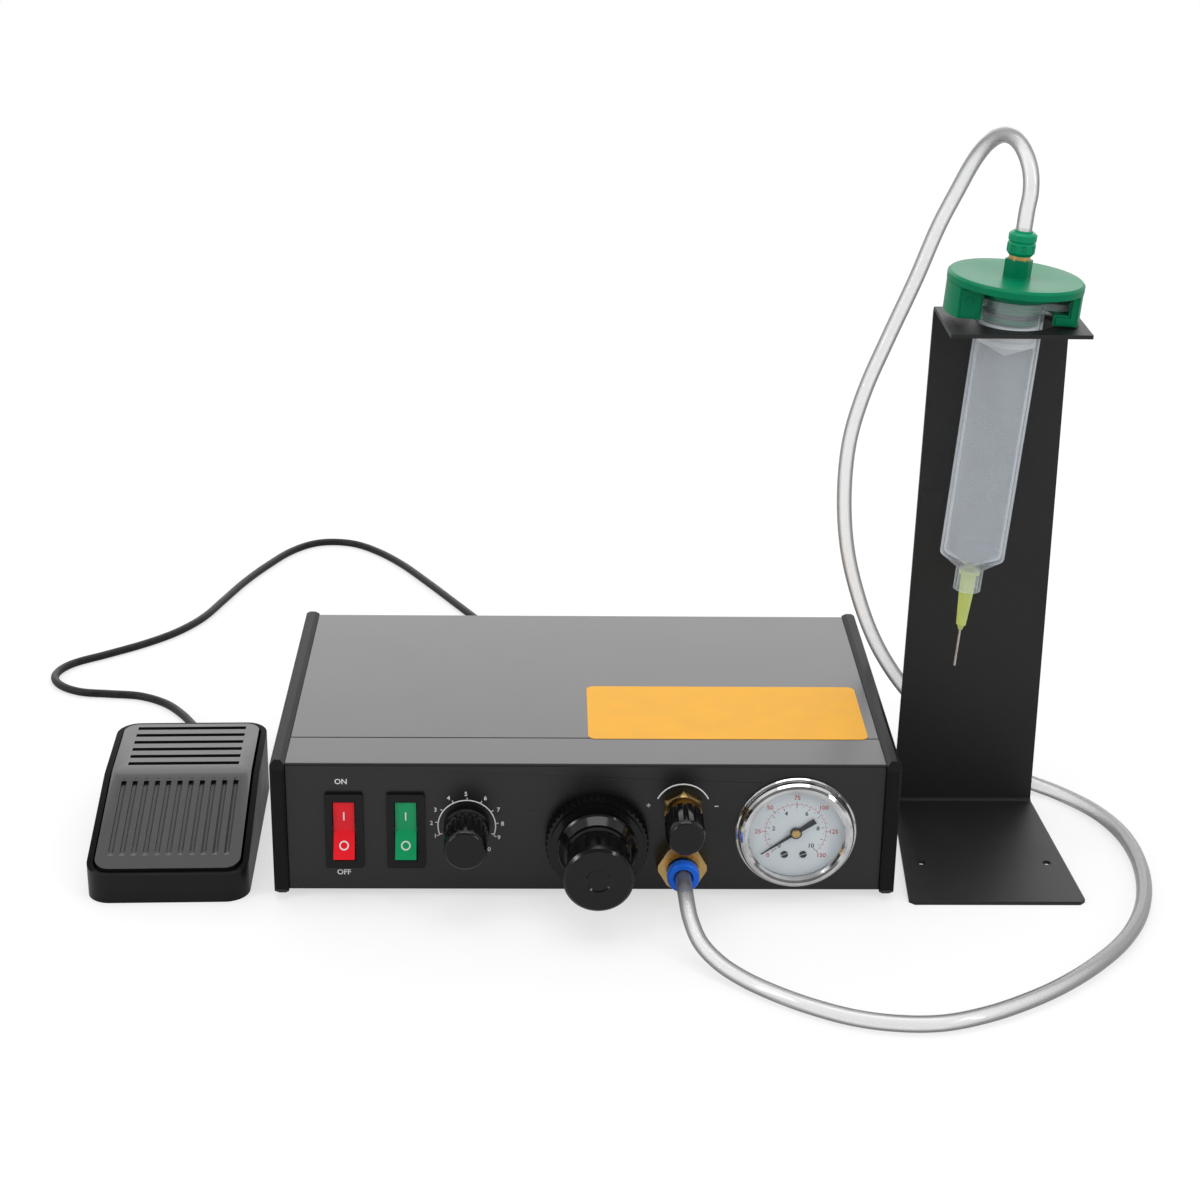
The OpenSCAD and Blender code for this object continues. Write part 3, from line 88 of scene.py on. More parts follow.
# Depths of the finishes' bumps, in metres
COAT_BUMPS = 0.00006
PLASTIC_BUMPS = 0.00004
METAL_BUMPS = 0.00003
SOFT_BUMPS = 0.00005
# The hose's grey and its density, from where it faces the eye to its rim
HOSE_GREYS = [(0, 0.66), (0.12, 0.74), (0.22, 0.6), (0.36, 0.26), (0.6, 0.16), (1, 0.3)]
HOSE_DENSITY = [(0, 0.24), (0.15, 0.26), (0.25, 0.4), (0.42, 0.72), (1, 0.85)]
# Points of a mesh that lie closer than this, in metres, are welded before its edges are rounded
WELD_WITHIN = 0.000002
# Nodes with rounded edges: the width in millimetres, the segments and the least angle in degrees
SOFT_EDGES = [
    (0.3, 2, 32, ("left_end_plate", "right_end_plate")),
    (0.25, 2, 32, ("front_panel", "top_cover", "rear_panel", "bottom_tray", "syringe_stand")),
    (0.8, 3, 32, ("pedal_base",)),
    (0.5, 3, 32, ("pedal_plate",)),
    (0.25, 2, 32, ("power_switch_housing", "mode_switch_housing")),
    (0.8, 4, 18, ("power_rocker", "mode_rocker")),
    (0.2, 2, 32, ("time_knob", "regulator_knob", "vacuum_knob", "adapter_cap", "hose_coupling")),
    (0.15, 2, 32, ("output_fitting", "vacuum_nut", "release_collar", "mains_inlet")),
]

# Places on the front panel, in millimetres along X and Z
PANEL_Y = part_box("front_panel")[0].y / MM
POWER_SWITCH = (-90.6, 28.6)
MODE_SWITCH = (-67.5, 28.6)
TIMER = (-44.7, 30.3)
VACUUM_VALVE = (36.3, 37.7)
GAUGE = (79.2, 28.2)

# Thickness of the print, and the switch's words with their shift across and place up the panel
PRINT_T = 0.03
SWITCH_WORDS = [("ON", -0.8, 48.7), ("OFF", -0.6, 10.5)]
WORD_HEIGHT = 2.2
# Height of a capital as a share of the letters' size
CAPITAL_SHARE = 0.73
# The timer's arc: radius, width, start and end in degrees
TIMER_ARC = (10.8, 0.42, 200, -20)
# Its ticks: start and end in degrees, count, inner and outer radius, width
TIMER_TICKS = (200, -22, 9, 10.9, 12, 0.3)
# The short bars at its ends: shift across and up, width, height, turn
TIMER_BARS = [(-9.7, -3.4, 0.9, 0.4, 10), (9.7, -3.4, 0.9, 0.4, -10)]
# Each figure round the timer, with its angle in degrees and its distance from the shaft
TIMER_NUMBERS = [
    (1, 200, 12.6), (2, 175, 13.3), (3, 150, 13.5), (4, 120, 13.5), (5, 91, 13.4),
    (6, 59, 13.6), (7, 30, 13.7), (8, 4, 13.4), (9, -22, 13), (10, -52, 12.6)]
TIMER_NUMBER_HEIGHT = 1.75
# The vacuum valve's arc: radius, width, start and end in degrees
VALVE_ARC = (10.4, 0.5, 156, 24)
# Its plus and minus: shift across and place up the panel
PLUS_SIGN = (-12.9, 39.2)
MINUS_SIGN = (12.6, 38.9)
SIGN_LENGTH = 1.5
SIGN_WIDTH = 0.4

# The gauge's scales: start and end in degrees, and the outer one's arc
DIAL_START = 225
DIAL_END = -45
DIAL_ARC_R = 11.5
DIAL_ARC_WIDTH = 0.12
# Their rows of ticks: count, inner and outer radius, width
OUTER_TICKS = [(31, 11.5, 12.3, 0.14), (7, 11.0, 12.6, 0.22)]
INNER_TICKS = [(21, 10.3, 10.9, 0.14), (11, 9.9, 10.9, 0.22)]
# Their figures: count, step from one to the next, radius, height, weight
OUTER_FIGURES = (7, 25, 14.3, 1.8, 0.03)
INNER_FIGURES = (6, 2, 8.5, 1.8, 0.04)
# The dial's screws: shift across, shift down, radius, height, and the angle where each half starts
DIAL_SCREWS = (("left", -3.9), ("right", 3.2))
SCREW_DOWN = 9.6
SCREW_R = 1.4
SCREW_HEIGHT = 0.4
SCREW_HALVES = (30, 210)
# The cap on the pointer: radius and height of each ring, and the corners of a ring
CAP_RINGS = ((1.7, 0.0), (1.7, 0.25), (1.45, 0.5), (0.8, 0.62), (0.7, 0.5))
CAP_CORNERS = 32

# Rockers: tilt at rest, pivot behind the panel's face, face in front of the pivot, slope of each half
ROCKER_ANGLE = 12.0
ROCKER_PIVOT_DEPTH = 1.4
ROCKER_FACE = 2.1
ROCKER_SLOPE = math.degrees(math.atan2(2.495, 11.085))
# Their line: across, up, width, height; their ring: across, up, radius, width
ROCKER_LINE = (0, 5.6, 0.55, 3.4)
ROCKER_RING = (0, -6.0, 1.55, 0.5)

# The label on the top cover: two corners, the radius of its corners, its thickness
COVER_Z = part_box("top_cover")[1].z / MM
LABEL_LOW = (1.0, -49.3)
LABEL_HIGH = (108.0, -1.5)
LABEL_ROUNDING = 3.0
LABEL_T = 0.16

# The pedal's place in millimetres and its turn in degrees
PEDAL_PLACE = (-159.1, -25.1)
PEDAL_TURN = 1.5
# The lengthwise grooves of its plate: spacing, how many to each side, middle, length, margin, rounding
RIB_STEP = 4.38
RIB_SIDE_COUNT = 5
RIB_MIDDLE = -18.5
RIB_LENGTH = 42.0
RIB_MARGIN = 0.2
RIB_ROUNDING = 1.25
# Their depth, in metres
RIB_DEPTH = 0.0005
# The pedal's return spring: its wire's radius and corners, its turns, and the steps in each turn
SPRING_WIRE_R = 0.45
SPRING_WIRE_CORNERS = 8
SPRING_TURNS = 5
SPRING_STEPS = 20

# The syringe's place in the stand, its lean to the left, and half the width of its adapter's wings
SYRINGE_SEAT = (156.0, -13.0, 211.5)
SYRINGE_LEAN = 4.2
WING_HALF = 11.5
# The steps on a wing's ends: an angle, a panel and a stud on it, each with the heights it spans
WING_ANGLE = ((14.3, 3.0), (21.3, 3.0), (21.3, 12.9), (19.5, 12.9), (19.5, 5.5), (14.3, 5.5))
WING_ANGLE_SPAN = (-0.1, 0.6)
WING_PANEL = ((-21.3, 3.0), (-16.4, 3.0), (-14.2, 5.2), (-14.2, 12.9), (-21.3, 12.9))
WING_PANEL_SPAN = (-0.1, 0.5)
WING_STUD = (-18.6, 9.4)
STUD_R = 1.1
STUD_CORNERS = 24
STUD_SPAN = (0.4, 0.9)

# Route of the air hose from the outlet to the syringe, in millimetres
HOSE_R = 3.0
HOSE_POINTS = [
    (36.3, -71.7, 16.5), (36.3, -88, 16.5), (36.6, -99, 15.6), (37.8, -108.5, 12),
    (41, -118, 7.9), (47, -126.5, 5), (54.5, -134.2, 3.5), (64, -142.5, 3),
    (77, -152, 3), (92, -159.7, 3), (107, -163.2, 3), (122, -163, 3),
    (137, -158.2, 3), (152, -150.3, 3), (168, -139.2, 3), (184, -124.5, 3),
    (198, -107.7, 3), (208.5, -88.5, 3), (215, -67.5, 3), (217.6, -45.5, 3),
    (216, -24.5, 3), (209.5, -6, 3), (198, 10, 3), (184.5, 19.8, 4.5),
    (170.5, 24.2, 10), (156, 25.5, 20.5), (142, 25.2, 34), (129.5, 24.8, 49),
    (119.5, 24.6, 65.5), (111.8, 25, 84.5), (106, 25, 106), (103.6, 25, 129),
    (104.5, 25, 151.5), (109.3, 25, 172), (117, 25, 193), (126.4, 25, 217),
    (133.5, 24.4, 237.5), (139.6, 22.2, 252.5), (144.2, 18.2, 264.4), (148, 12.6, 272.2),
    (151.6, 6, 276.4), (154.9, -1, 276.5), (157.6, -7.2, 272.8), (159.4, -11.4, 266.6),
    (159.8, -12.9, 259.5), (159, -13, 252.5), (158.49, -13, 245.46)]
# Route of the pedal's cable from its gland to its plug, in millimetres
CABLE_R = 1.8
CABLE_POINTS = [
    (-160.8, 38.9, 8), (-161.2, 48, 7.2), (-163, 58, 4.8), (-167.5, 71, 2.2),
    (-175, 85, 1.8), (-184.5, 97, 1.8), (-197, 104.8, 1.8), (-211, 107, 1.8),
    (-225, 109.3, 1.8), (-235.5, 117, 1.8), (-239.3, 127.5, 1.8), (-234.5, 139.5, 1.8),
    (-220, 151, 1.8), (-204.5, 163.5, 1.8), (-191.5, 177.5, 1.8), (-181.5, 195, 1.8),
    (-174.5, 217, 1.8), (-167, 241.5, 1.8), (-157.5, 265.5, 1.8), (-147, 286, 1.8),
    (-134.5, 297.5, 1.8), (-119, 297.5, 1.8), (-105.5, 288, 1.8), (-90, 268.5, 1.8),
    (-73, 239.5, 1.8), (-56, 208.5, 1.8), (-41, 181.5, 1.8), (-29, 160.5, 3),
    (-21, 144, 8), (-17, 128.5, 15), (-16, 117, 19.2), (-16, 109, 20)]


def add_object(name, data):
    """Puts an object with this data into the scene."""
    thing = bpy.data.objects.new(name, data)
    bpy.context.scene.collection.objects.link(thing)
    return thing


def polar(x, y, radius, degrees):
    """The point at a distance and an angle from another."""
    angle = math.radians(degrees)
    return x + radius * math.cos(angle), y + radius * math.sin(angle)


def make_camera():
    """The camera stands where the photograph was taken from."""
    yaw, pitch, roll = (math.radians(a) for a in (CAMERA_YAW, CAMERA_PITCH, CAMERA_ROLL))
    ahead = Vector((math.sin(yaw) * math.cos(pitch), math.cos(yaw) * math.cos(pitch), -math.sin(pitch)))
    level = Vector((math.cos(yaw), -math.sin(yaw), 0))
    upright = level.cross(ahead)
    right = math.cos(roll) * level + math.sin(roll) * upright
    up = math.cos(roll) * upright - math.sin(roll) * level
    data = bpy.data.cameras.new("camera")
    data.lens = CAMERA_LENS
    data.sensor_width = SENSOR_WIDTH
    data.clip_start = 0.01
    data.clip_end = 50
    camera = add_object("camera", data)
    turn = Matrix((right, up, -ahead)).transposed().to_4x4()
    camera.matrix_world = Matrix.Translation(Vector(CAMERA_PLACE) * MM) @ turn
    bpy.context.scene.camera = camera


def add_light(name, place, aim, size, watts):
    """A soft rectangular light at a place, turned to a point, in metres."""
    data = bpy.data.lights.new(name, "AREA")
    data.shape = "RECTANGLE"
    data.size, data.size_y = size
    data.energy = watts
    light = add_object(name, data)
    light.location = place
    light.rotation_euler = (Vector(aim) - Vector(place)).to_track_quat("-Z", "Y").to_euler()


def plug_in(tree, value, plug):
    """Sets a node's input, or links it to another node's output."""
    if isinstance(value, bpy.types.NodeSocket):
        tree.links.new(value, plug)
    else:
        plug.default_value = value


def combine(tree, kind, first, second):
    """A value worked out from two others."""
    node = tree.nodes.new("ShaderNodeMath")
    node.operation = kind
    plug_in(tree, first, node.inputs[0])
    plug_in(tree, second, node.inputs[1])
    return node.outputs[0]


def map_range(tree, value, start, end, low, high, kind="LINEAR"):
    """Maps a value from one range to another."""
    node = tree.nodes.new("ShaderNodeMapRange")
    node.interpolation_type = kind
    tree.links.new(value, node.inputs["Value"])
    for name, number in (("From Min", start), ("From Max", end), ("To Min", low), ("To Max", high)):
        node.inputs[name].default_value = number
    return node.outputs[0]


class Look:
    """A material under construction: a shader with nodes for grain, colour and gloss."""

    def __init__(self, name):
        self.name = name
        self.material = bpy.data.materials.new(name)
        self.material.use_nodes = True
        self.tree = self.material.node_tree
        self.tree.nodes.clear()
        self.output = self.tree.nodes.new("ShaderNodeOutputMaterial")
        self.shader = self.tree.nodes.new("ShaderNodeBsdfPrincipled")
        self.tree.links.new(self.shader.outputs[0], self.output.inputs[0])
        self.place = self.tree.nodes.new("ShaderNodeTexCoord").outputs["Object"]

    def stretch(self, scale):
        """The object's coordinates, scaled along each axis."""
        node = self.tree.nodes.new("ShaderNodeMapping")
        node.inputs["Scale"].default_value = scale
        self.tree.links.new(self.place, node.inputs["Vector"])
        return node.outputs[0]

    def noise(self, per_metre, detail=3.0, rough=0.55, scale=None):
        """Noise with so many features a metre."""
        node = self.tree.nodes.new("ShaderNodeTexNoise")
        node.inputs["Scale"].default_value = per_metre
        node.inputs["Detail"].default_value = detail
        node.inputs["Roughness"].default_value = rough
        vector = self.stretch(scale) if scale else self.place
        self.tree.links.new(vector, node.inputs["Vector"])
        return node.outputs[0]

    def spread(self, value, low, high, start=0.35, end=0.65):
        """Maps a noise value to a range."""
        return map_range(self.tree, value, start, end, low, high)

    def blend(self, factor, first, second):
        """Mixes two colours by a value."""
        node = self.tree.nodes.new("ShaderNodeMix")
        node.data_type = "RGBA"
        self.tree.links.new(factor, node.inputs["Factor"])
        for name, colour in (("A", first), ("B", second)):
            plug = [s for s in node.inputs if s.name == name and s.type == "RGBA"][0]
            known = isinstance(colour, bpy.types.NodeSocket)
            plug_in(self.tree, colour if known else (*colour, 1), plug)
        return [s for s in node.outputs if s.type == "RGBA"][0]

    def bumps(self, height, strength, depth):
        """Turns a value into bumps of a depth in metres."""
        node = self.tree.nodes.new("ShaderNodeBump")
        node.inputs["Strength"].default_value = strength
        node.inputs["Distance"].default_value = depth
        self.tree.links.new(height, node.inputs["Height"])
        self.tree.links.new(node.outputs[0], self.shader.inputs["Normal"])

    def facing(self, blend=0.5):
        """A value that is low where the surface faces the eye and high at its rim."""
        node = self.tree.nodes.new("ShaderNodeLayerWeight")
        node.inputs["Blend"].default_value = blend
        return node.outputs["Facing"]

    def bands(self, value, stops):
        """Greys along a value, from place to place; the first is at 0 and the last at 1."""
        node = self.tree.nodes.new("ShaderNodeValToRGB")
        marks = node.color_ramp.elements
        marks[0].color = (*[stops[0][1]] * 3, 1)
        marks[-1].color = (*[stops[-1][1]] * 3, 1)
        for place, grey in stops[1:-1]:
            marks.new(place).color = (grey, grey, grey, 1)
        self.tree.links.new(value, node.inputs[0])
        return node.outputs[0]

    def gloss_over(self, level, rough):
        """Adds highlights that a see-through body doesn't thin."""
        shine = self.tree.nodes.new("ShaderNodeBsdfGlossy")
        shine.inputs["Roughness"].default_value = rough
        grey = self.bands(self.facing(0.5), [(0, level), (0.5, 1.3 * level), (1, 4 * level)])
        self.tree.links.new(grey, shine.inputs["Color"])
        both = self.tree.nodes.new("ShaderNodeAddShader")
        self.tree.links.new(self.shader.outputs[0], both.inputs[0])
        self.tree.links.new(shine.outputs[0], both.inputs[1])
        self.tree.links.new(both.outputs[0], self.output.inputs[0])

    def set(self, **values):
        """Sets sockets by name, with spaces for underscores."""
        for name, value in values.items():
            plug_in(self.tree, value, self.shader.inputs[name.replace("_", " ")])
        return self


def shade(colour, factor):
    """A colour made darker or lighter."""
    return tuple(min(1.0, c * factor) for c in colour)


def powder_coat(name, colour, rough, grain=2600, strength=0.35, gloss=0.25, coat=0.0):
    """Fine-grained powder coat on metal, with faint cloudiness and tiny light specks."""
    look = Look(name)
    cloud = look.noise(30)
    speck = look.noise(grain * 1.3, 2)
    base = look.blend(look.spread(cloud, 0, 1), shade(colour, 0.92), shade(colour, 1.08))
    base = look.blend(look.spread(speck, 0, 0.5, 0.62, 0.72), base, shade(colour, 2.6))
    look.set(Base_Color=base, Roughness=look.spread(cloud, rough - 0.01, rough + 0.015))
    look.set(Specular_IOR_Level=gloss, Coat_Weight=coat, Coat_Roughness=0.3, Coat_IOR=1.45)
    look.bumps(look.noise(grain, 4), strength, COAT_BUMPS)
    return look


def moulded(name, colour, rough, grain=1500, strength=0.12, vary=0.1, coat=0.0, gloss=0.5):
    """Moulded plastic with a faint grain and slight changes of tone."""
    look = Look(name)
    cloud = look.noise(70)
    base = look.blend(look.spread(cloud, 0, 1), shade(colour, 1 - vary), shade(colour, 1 + vary))
    look.set(Base_Color=base, Roughness=look.spread(cloud, rough - 0.02, rough + 0.03))
    look.set(Coat_Weight=coat, Coat_Roughness=0.06, Specular_IOR_Level=gloss)
    look.bumps(look.noise(grain, 3), strength, PLASTIC_BUMPS)
    return look


def turned_metal(name, colour, rough, stretch=(1, 1, 1), grain=900, strength=0.1):
    """Bare or plated metal with fine tool marks and faint tarnish."""
    look = Look(name)
    tarnish = look.noise(120, 4)
    base = look.blend(look.spread(tarnish, 0, 1), shade(colour, 0.8), shade(colour, 1.1))
    look.set(Base_Color=base, Metallic=1.0, Roughness=look.spread(tarnish, rough, rough + 0.12))
    look.bumps(look.noise(grain, 3, scale=stretch), strength, METAL_BUMPS)
    return look


def clear_plastic(name, colour, middle, rim, rough, scuff=0.06, start=0.15, shine=0.0):
    """Clear or milky plastic: see-through where it faces the eye and denser at its rim."""
    look = Look(name)
    haze = look.noise(140, 4)
    look.set(Base_Color=look.blend(look.spread(haze, 0, 1), shade(colour, 0.93), colour))
    look.set(Roughness=look.spread(haze, rough, rough + scuff), IOR=1.48)
    look.set(Alpha=look.spread(look.facing(0.45), middle, rim, start, 0.95))
    look.bumps(look.noise(200, 2), 0.02, SOFT_BUMPS)
    if shine:
        look.gloss_over(shine, rough)
    return look


def clear_hose(name):
    """A clear hose: light where it faces the eye, with its wall as a darker line along each side."""
    look = Look(name)
    facing = look.facing(0.5)
    haze = look.noise(160, 4)
    look.set(Base_Color=look.bands(facing, HOSE_GREYS), Roughness=look.spread(haze, 0.1, 0.2), IOR=1.5)
    look.set(Alpha=look.bands(facing, HOSE_DENSITY))
    look.bumps(look.noise(150, 2), 0.02, SOFT_BUMPS)
    look.gloss_over(0.03, 0.12)
    return look


def soft_black(name, colour, rough):
    """Rubber or a cable's jacket, with a fine dusty grain."""
    look = Look(name)
    dust = look.noise(420, 4)
    look.set(Base_Color=look.blend(look.spread(dust, 0, 1), colour, shade(colour, 1.9)))
    look.set(Roughness=look.spread(dust, rough - 0.08, rough + 0.08))
    look.set(Specular_IOR_Level=0.25)
    look.bumps(look.noise(2200, 3), 0.2, SOFT_BUMPS)
    return look


def ribbed_pedal(name, colour):
    """The pedal plate's plastic, with round-bottomed grooves between its lengthwise ribs."""
    look = moulded(name, colour, 0.3, 1300, 0.1, coat=0.65, gloss=0.4)
    tree = look.tree
    place = tree.nodes.new("ShaderNodeMapping")
    place.vector_type = "TEXTURE"
    place.inputs["Location"].default_value = (PEDAL_PLACE[0] * MM, PEDAL_PLACE[1] * MM, 0)
    place.inputs["Rotation"].default_value = (0, 0, math.radians(PEDAL_TURN))
    place.inputs["Scale"].default_value = (MM, MM, MM)
    tree.links.new(look.place, place.inputs["Vector"])
    axes = tree.nodes.new("ShaderNodeSeparateXYZ")
    tree.links.new(place.outputs[0], axes.inputs[0])
    x, y = axes.outputs["X"], axes.outputs["Y"]
    across = combine(tree, "PINGPONG", x, RIB_STEP / 2)
    half_width = RIB_SIDE_COUNT * RIB_STEP + RIB_MARGIN
    aside = combine(tree, "SUBTRACT", combine(tree, "ABSOLUTE", x, 0), half_width)
    along = combine(tree, "ABSOLUTE", combine(tree, "SUBTRACT", y, RIB_MIDDLE), 0)
    past = combine(tree, "SUBTRACT", along, RIB_LENGTH / 2)
    off = combine(tree, "MAXIMUM", combine(tree, "MAXIMUM", across, past), aside)
    height = map_range(tree, off, 0.0, RIB_ROUNDING, -1.0, 0.0, "SMOOTHSTEP")
    grain = [n for n in tree.nodes if n.type == "BUMP"][0]
    groove = tree.nodes.new("ShaderNodeBump")
    groove.inputs["Strength"].default_value = 1.0
    groove.inputs["Distance"].default_value = RIB_DEPTH
    tree.links.new(height, groove.inputs["Height"])
    tree.links.new(groove.outputs[0], grain.inputs["Normal"])
    return look


def rimmed_base(name, colour):
    """The pedal base's plastic: satin walls and a smooth dark rim."""
    look = moulded(name, colour, 0.3, 1300, 0.1, gloss=0.3)
    surface = look.tree.nodes.new("ShaderNodeNewGeometry")
    upward = look.tree.nodes.new("ShaderNodeSeparateXYZ")
    look.tree.links.new(surface.outputs["Normal"], upward.inputs[0])
    look.set(Specular_IOR_Level=look.spread(upward.outputs["Z"], 0.3, 0.03, 0.75, 0.97))
    return look


def make_looks():
    """The finishes: one for each material slot of the record, and some for print and the pedal."""
    looks = [
        powder_coat("end_plate_paint", (0.009, 0.0092, 0.0098), 0.4, gloss=0.12),
        powder_coat("panel_paint", (0.007, 0.0072, 0.0076), 0.34, 2200, 0.15, coat=0.9),
        powder_coat("stand_paint", (0.014, 0.014, 0.0145), 0.5, 1700, 0.5, 0.45),
        soft_black("black_rubber", (0.014, 0.014, 0.014), 0.6),
        soft_black("cable_black", (0.012, 0.012, 0.013), 0.42),
        turned_metal("dark_steel", (0.07, 0.07, 0.075), 0.3),
        moulded("board_green", (0.02, 0.15, 0.05), 0.35),
        turned_metal("core_steel", (0.2, 0.16, 0.11), 0.5),
        turned_metal("bare_aluminium", (0.62, 0.63, 0.64), 0.38),
        moulded("tube_blue", (0.05, 0.2, 0.6), 0.3),
        moulded("black_plastic", (0.006, 0.006, 0.0065), 0.3, gloss=0.3),
        moulded("rocker_red", (0.85, 0.008, 0.02), 0.18, 600, 0.04, 0.05, gloss=0.4),
        moulded("rocker_green", (0.002, 0.34, 0.12), 0.18, 600, 0.04, 0.05, gloss=0.4),
        turned_metal("plated_steel", (0.62, 0.63, 0.65), 0.22),
        turned_metal("fitting_brass", (0.74, 0.5, 0.2), 0.2, (1, 6, 1)),
        moulded("knob_black", (0.004, 0.0042, 0.0045), 0.14, 1800, 0.05, gloss=0.4),
        moulded("collar_blue", (0.012, 0.16, 0.85), 0.3, 700, 0.05, 0.06, gloss=0.3),
        turned_metal("gauge_chrome", (0.86, 0.86, 0.87), 0.05, strength=0.02),
        moulded("dial_white", (0.84, 0.9, 0.93), 0.45, 900, 0.03, 0.02),
        moulded("pointer_black", (0.02, 0.022, 0.026), 0.4),
        powder_coat("sintered_bronze", (0.42, 0.27, 0.12), 0.5, 1500, 0.9),
        moulded("plug_plastic", (0.03, 0.031, 0.034), 0.4),
        moulded("pedal_plastic", (0.006, 0.0063, 0.0068), 0.3, 1300, 0.1, gloss=0.3),
        ribbed_pedal("pedal_ribs", (0.006, 0.0063, 0.0068)),
        rimmed_base("pedal_rim", (0.005, 0.0052, 0.0057)),
        moulded("piston_white", (0.84, 0.85, 0.85), 0.4, 900, 0.05, 0.03),
        moulded("adapter_green", (0.001, 0.2, 0.09), 0.32, 900, 0.1, 0.08, gloss=0.12),
        moulded("coupling_green", (0.001, 0.3, 0.14), 0.3, 900, 0.1, 0.08, gloss=0.2),
        clear_plastic("gauge_glass", (0.9, 0.95, 1.0), 0.02, 0.4, 0.02, 0.02).set(Specular_IOR_Level=0.9),
        clear_plastic("barrel_clear", (0.76, 0.83, 0.9), 0.17, 1.0, 0.16, 0.04, 0.5, 0.03),
        clear_plastic("hub_yellow", (0.72, 0.84, 0.22), 0.7, 0.92, 0.2, shine=0.03),
        clear_hose("hose_clear"),
        moulded("dial_print_black", (0.02, 0.022, 0.03), 0.5),
        moulded("dial_print_red", (0.6, 0.06, 0.07), 0.5),
        moulded("panel_print", (0.78, 0.79, 0.78), 0.5, 900, 0.05, 0.04),
        moulded("label_amber", (0.78, 0.38, 0.025), 0.45, 500, 0.05, 0.03, gloss=0.15),
    ]
    return {look.name: look.material for look in looks}


def finish_nodes(looks):
    """Gives each node the finish of its slot."""
    for part in frame["record"]["subparts"]:
        mesh = nodes[part["node"]].data
        mesh.materials.clear()
        mesh.materials.append(looks[part["material_slot"]])
        for polygon in mesh.polygons:
            polygon.material_index = 0


def refinish(node, material):
    """Gives one node a finish of its own in place of its slot's."""
    nodes[node].data.materials[0] = material


def soften(node, width, segments, angle):
    """Rounds a node's edges and smooths what curves."""
    thing = nodes[node]
    mesh = thing.data
    normals = mesh.attributes.get("custom_normal")
    if normals:
        mesh.attributes.remove(normals)
    for polygon in mesh.polygons:
        polygon.use_smooth = True
    weld = thing.modifiers.new("weld", "WELD")
    weld.merge_threshold = WELD_WITHIN
    bevel = thing.modifiers.new("edges", "BEVEL")
    bevel.width = width * MM
    bevel.segments = segments
    bevel.limit_method = "ANGLE"
    bevel.angle_limit = math.radians(angle)
    bevel.harden_normals = True


class Print:
    """Thin printed marks on a flat face, drawn in millimetres in the face's own plane."""

    def __init__(self, name):
        self.name = name
        self.mesh = bmesh.new()

    def outline(self, points, low=0.0, high=PRINT_T):
        """A closed outline, given thickness."""
        floor = [self.mesh.verts.new((x, y, low)) for x, y in points]
        roof = [self.mesh.verts.new((x, y, high)) for x, y in points]
        count = len(points)
        self.mesh.faces.new(list(reversed(floor)))
        self.mesh.faces.new(roof)
        for i in range(count):
            j = (i + 1) % count
            self.mesh.faces.new((floor[i], floor[j], roof[j], roof[i]))

    def bar(self, x, y, w, h, turn=0.0):
        """A rectangle about a point."""
        c, s = math.cos(math.radians(turn)), math.sin(math.radians(turn))
        corners = ((-w / 2, -h / 2), (w / 2, -h / 2), (w / 2, h / 2), (-w / 2, h / 2))
        self.outline([(x + c * u - s * v, y + s * u + c * v) for u, v in corners])

    def arc(self, x, y, radius, width, start, end, steps=48):
        """A band along an arc between two angles in degrees."""
        angles = [start + (end - start) * i / steps for i in range(steps + 1)]
        outer = [polar(x, y, radius + width / 2, a) for a in angles]
        inner = [polar(x, y, radius - width / 2, a) for a in angles]
        self.outline(outer + inner[::-1])

    def ring(self, x, y, radius, width, steps=40):
        """A closed ring, made of two halves."""
        self.arc(x, y, radius, width, 0, 180, steps // 2)
        self.arc(x, y, radius, width, 180, 360, steps // 2)

    def ticks(self, x, y, start, end, count, inner, outer, width):
        """Ticks along an arc."""
        for i in range(count):
            a = start + (end - start) * i / (count - 1)
            self.bar(*polar(x, y, (inner + outer) / 2, a), outer - inner, width, a)

    def text(self, words, x, y, height, weight):
        """Letters or figures centred on a point."""
        font = bpy.data.curves.new("letters", "FONT")
        font.body = words
        font.size = height / CAPITAL_SHARE
        font.align_x = "CENTER"
        font.align_y = "CENTER"
        font.offset = weight
        font.extrude = PRINT_T / 2
        font.resolution_u = 3
        thing = add_object("letters", font)
        bpy.context.view_layer.update()
        seen = thing.evaluated_get(bpy.context.evaluated_depsgraph_get())
        shape = bpy.data.meshes.new_from_object(seen)
        shape.transform(Matrix.Translation((x, y, PRINT_T / 2)))
        self.mesh.from_mesh(shape)
        bpy.data.meshes.remove(shape)
        bpy.data.objects.remove(thing)
        bpy.data.curves.remove(font)

    def figures(self, x, y, count, step, radius, height, weight):
        """Figures along the dial's scale, each one step more than the last."""
        for i in range(count):
            angle = DIAL_START + (DIAL_END - DIAL_START) * i / (count - 1)
            self.text(str(step * i), *polar(x, y, radius, angle), height, weight)

    def place(self, matrix, material, body, slot):
        """Makes the object, in metres, on its face."""
        mesh = bpy.data.meshes.new(self.name)
        bmesh.ops.recalc_face_normals(self.mesh, faces=self.mesh.faces)
        self.mesh.to_mesh(mesh)
        self.mesh.free()
        mesh.transform(Matrix.Scale(MM, 4) @ matrix)
        mesh.materials.append(material)
        thing = add_object(self.name, mesh)
        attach(thing, body)


def panel_face(y):
    """The plane of the front panel: drawn X and Y go to X and Z, and thickness to the front."""
    return Matrix.Translation((0, y, 0)) @ Matrix.Rotation(math.radians(90), 4, "X")


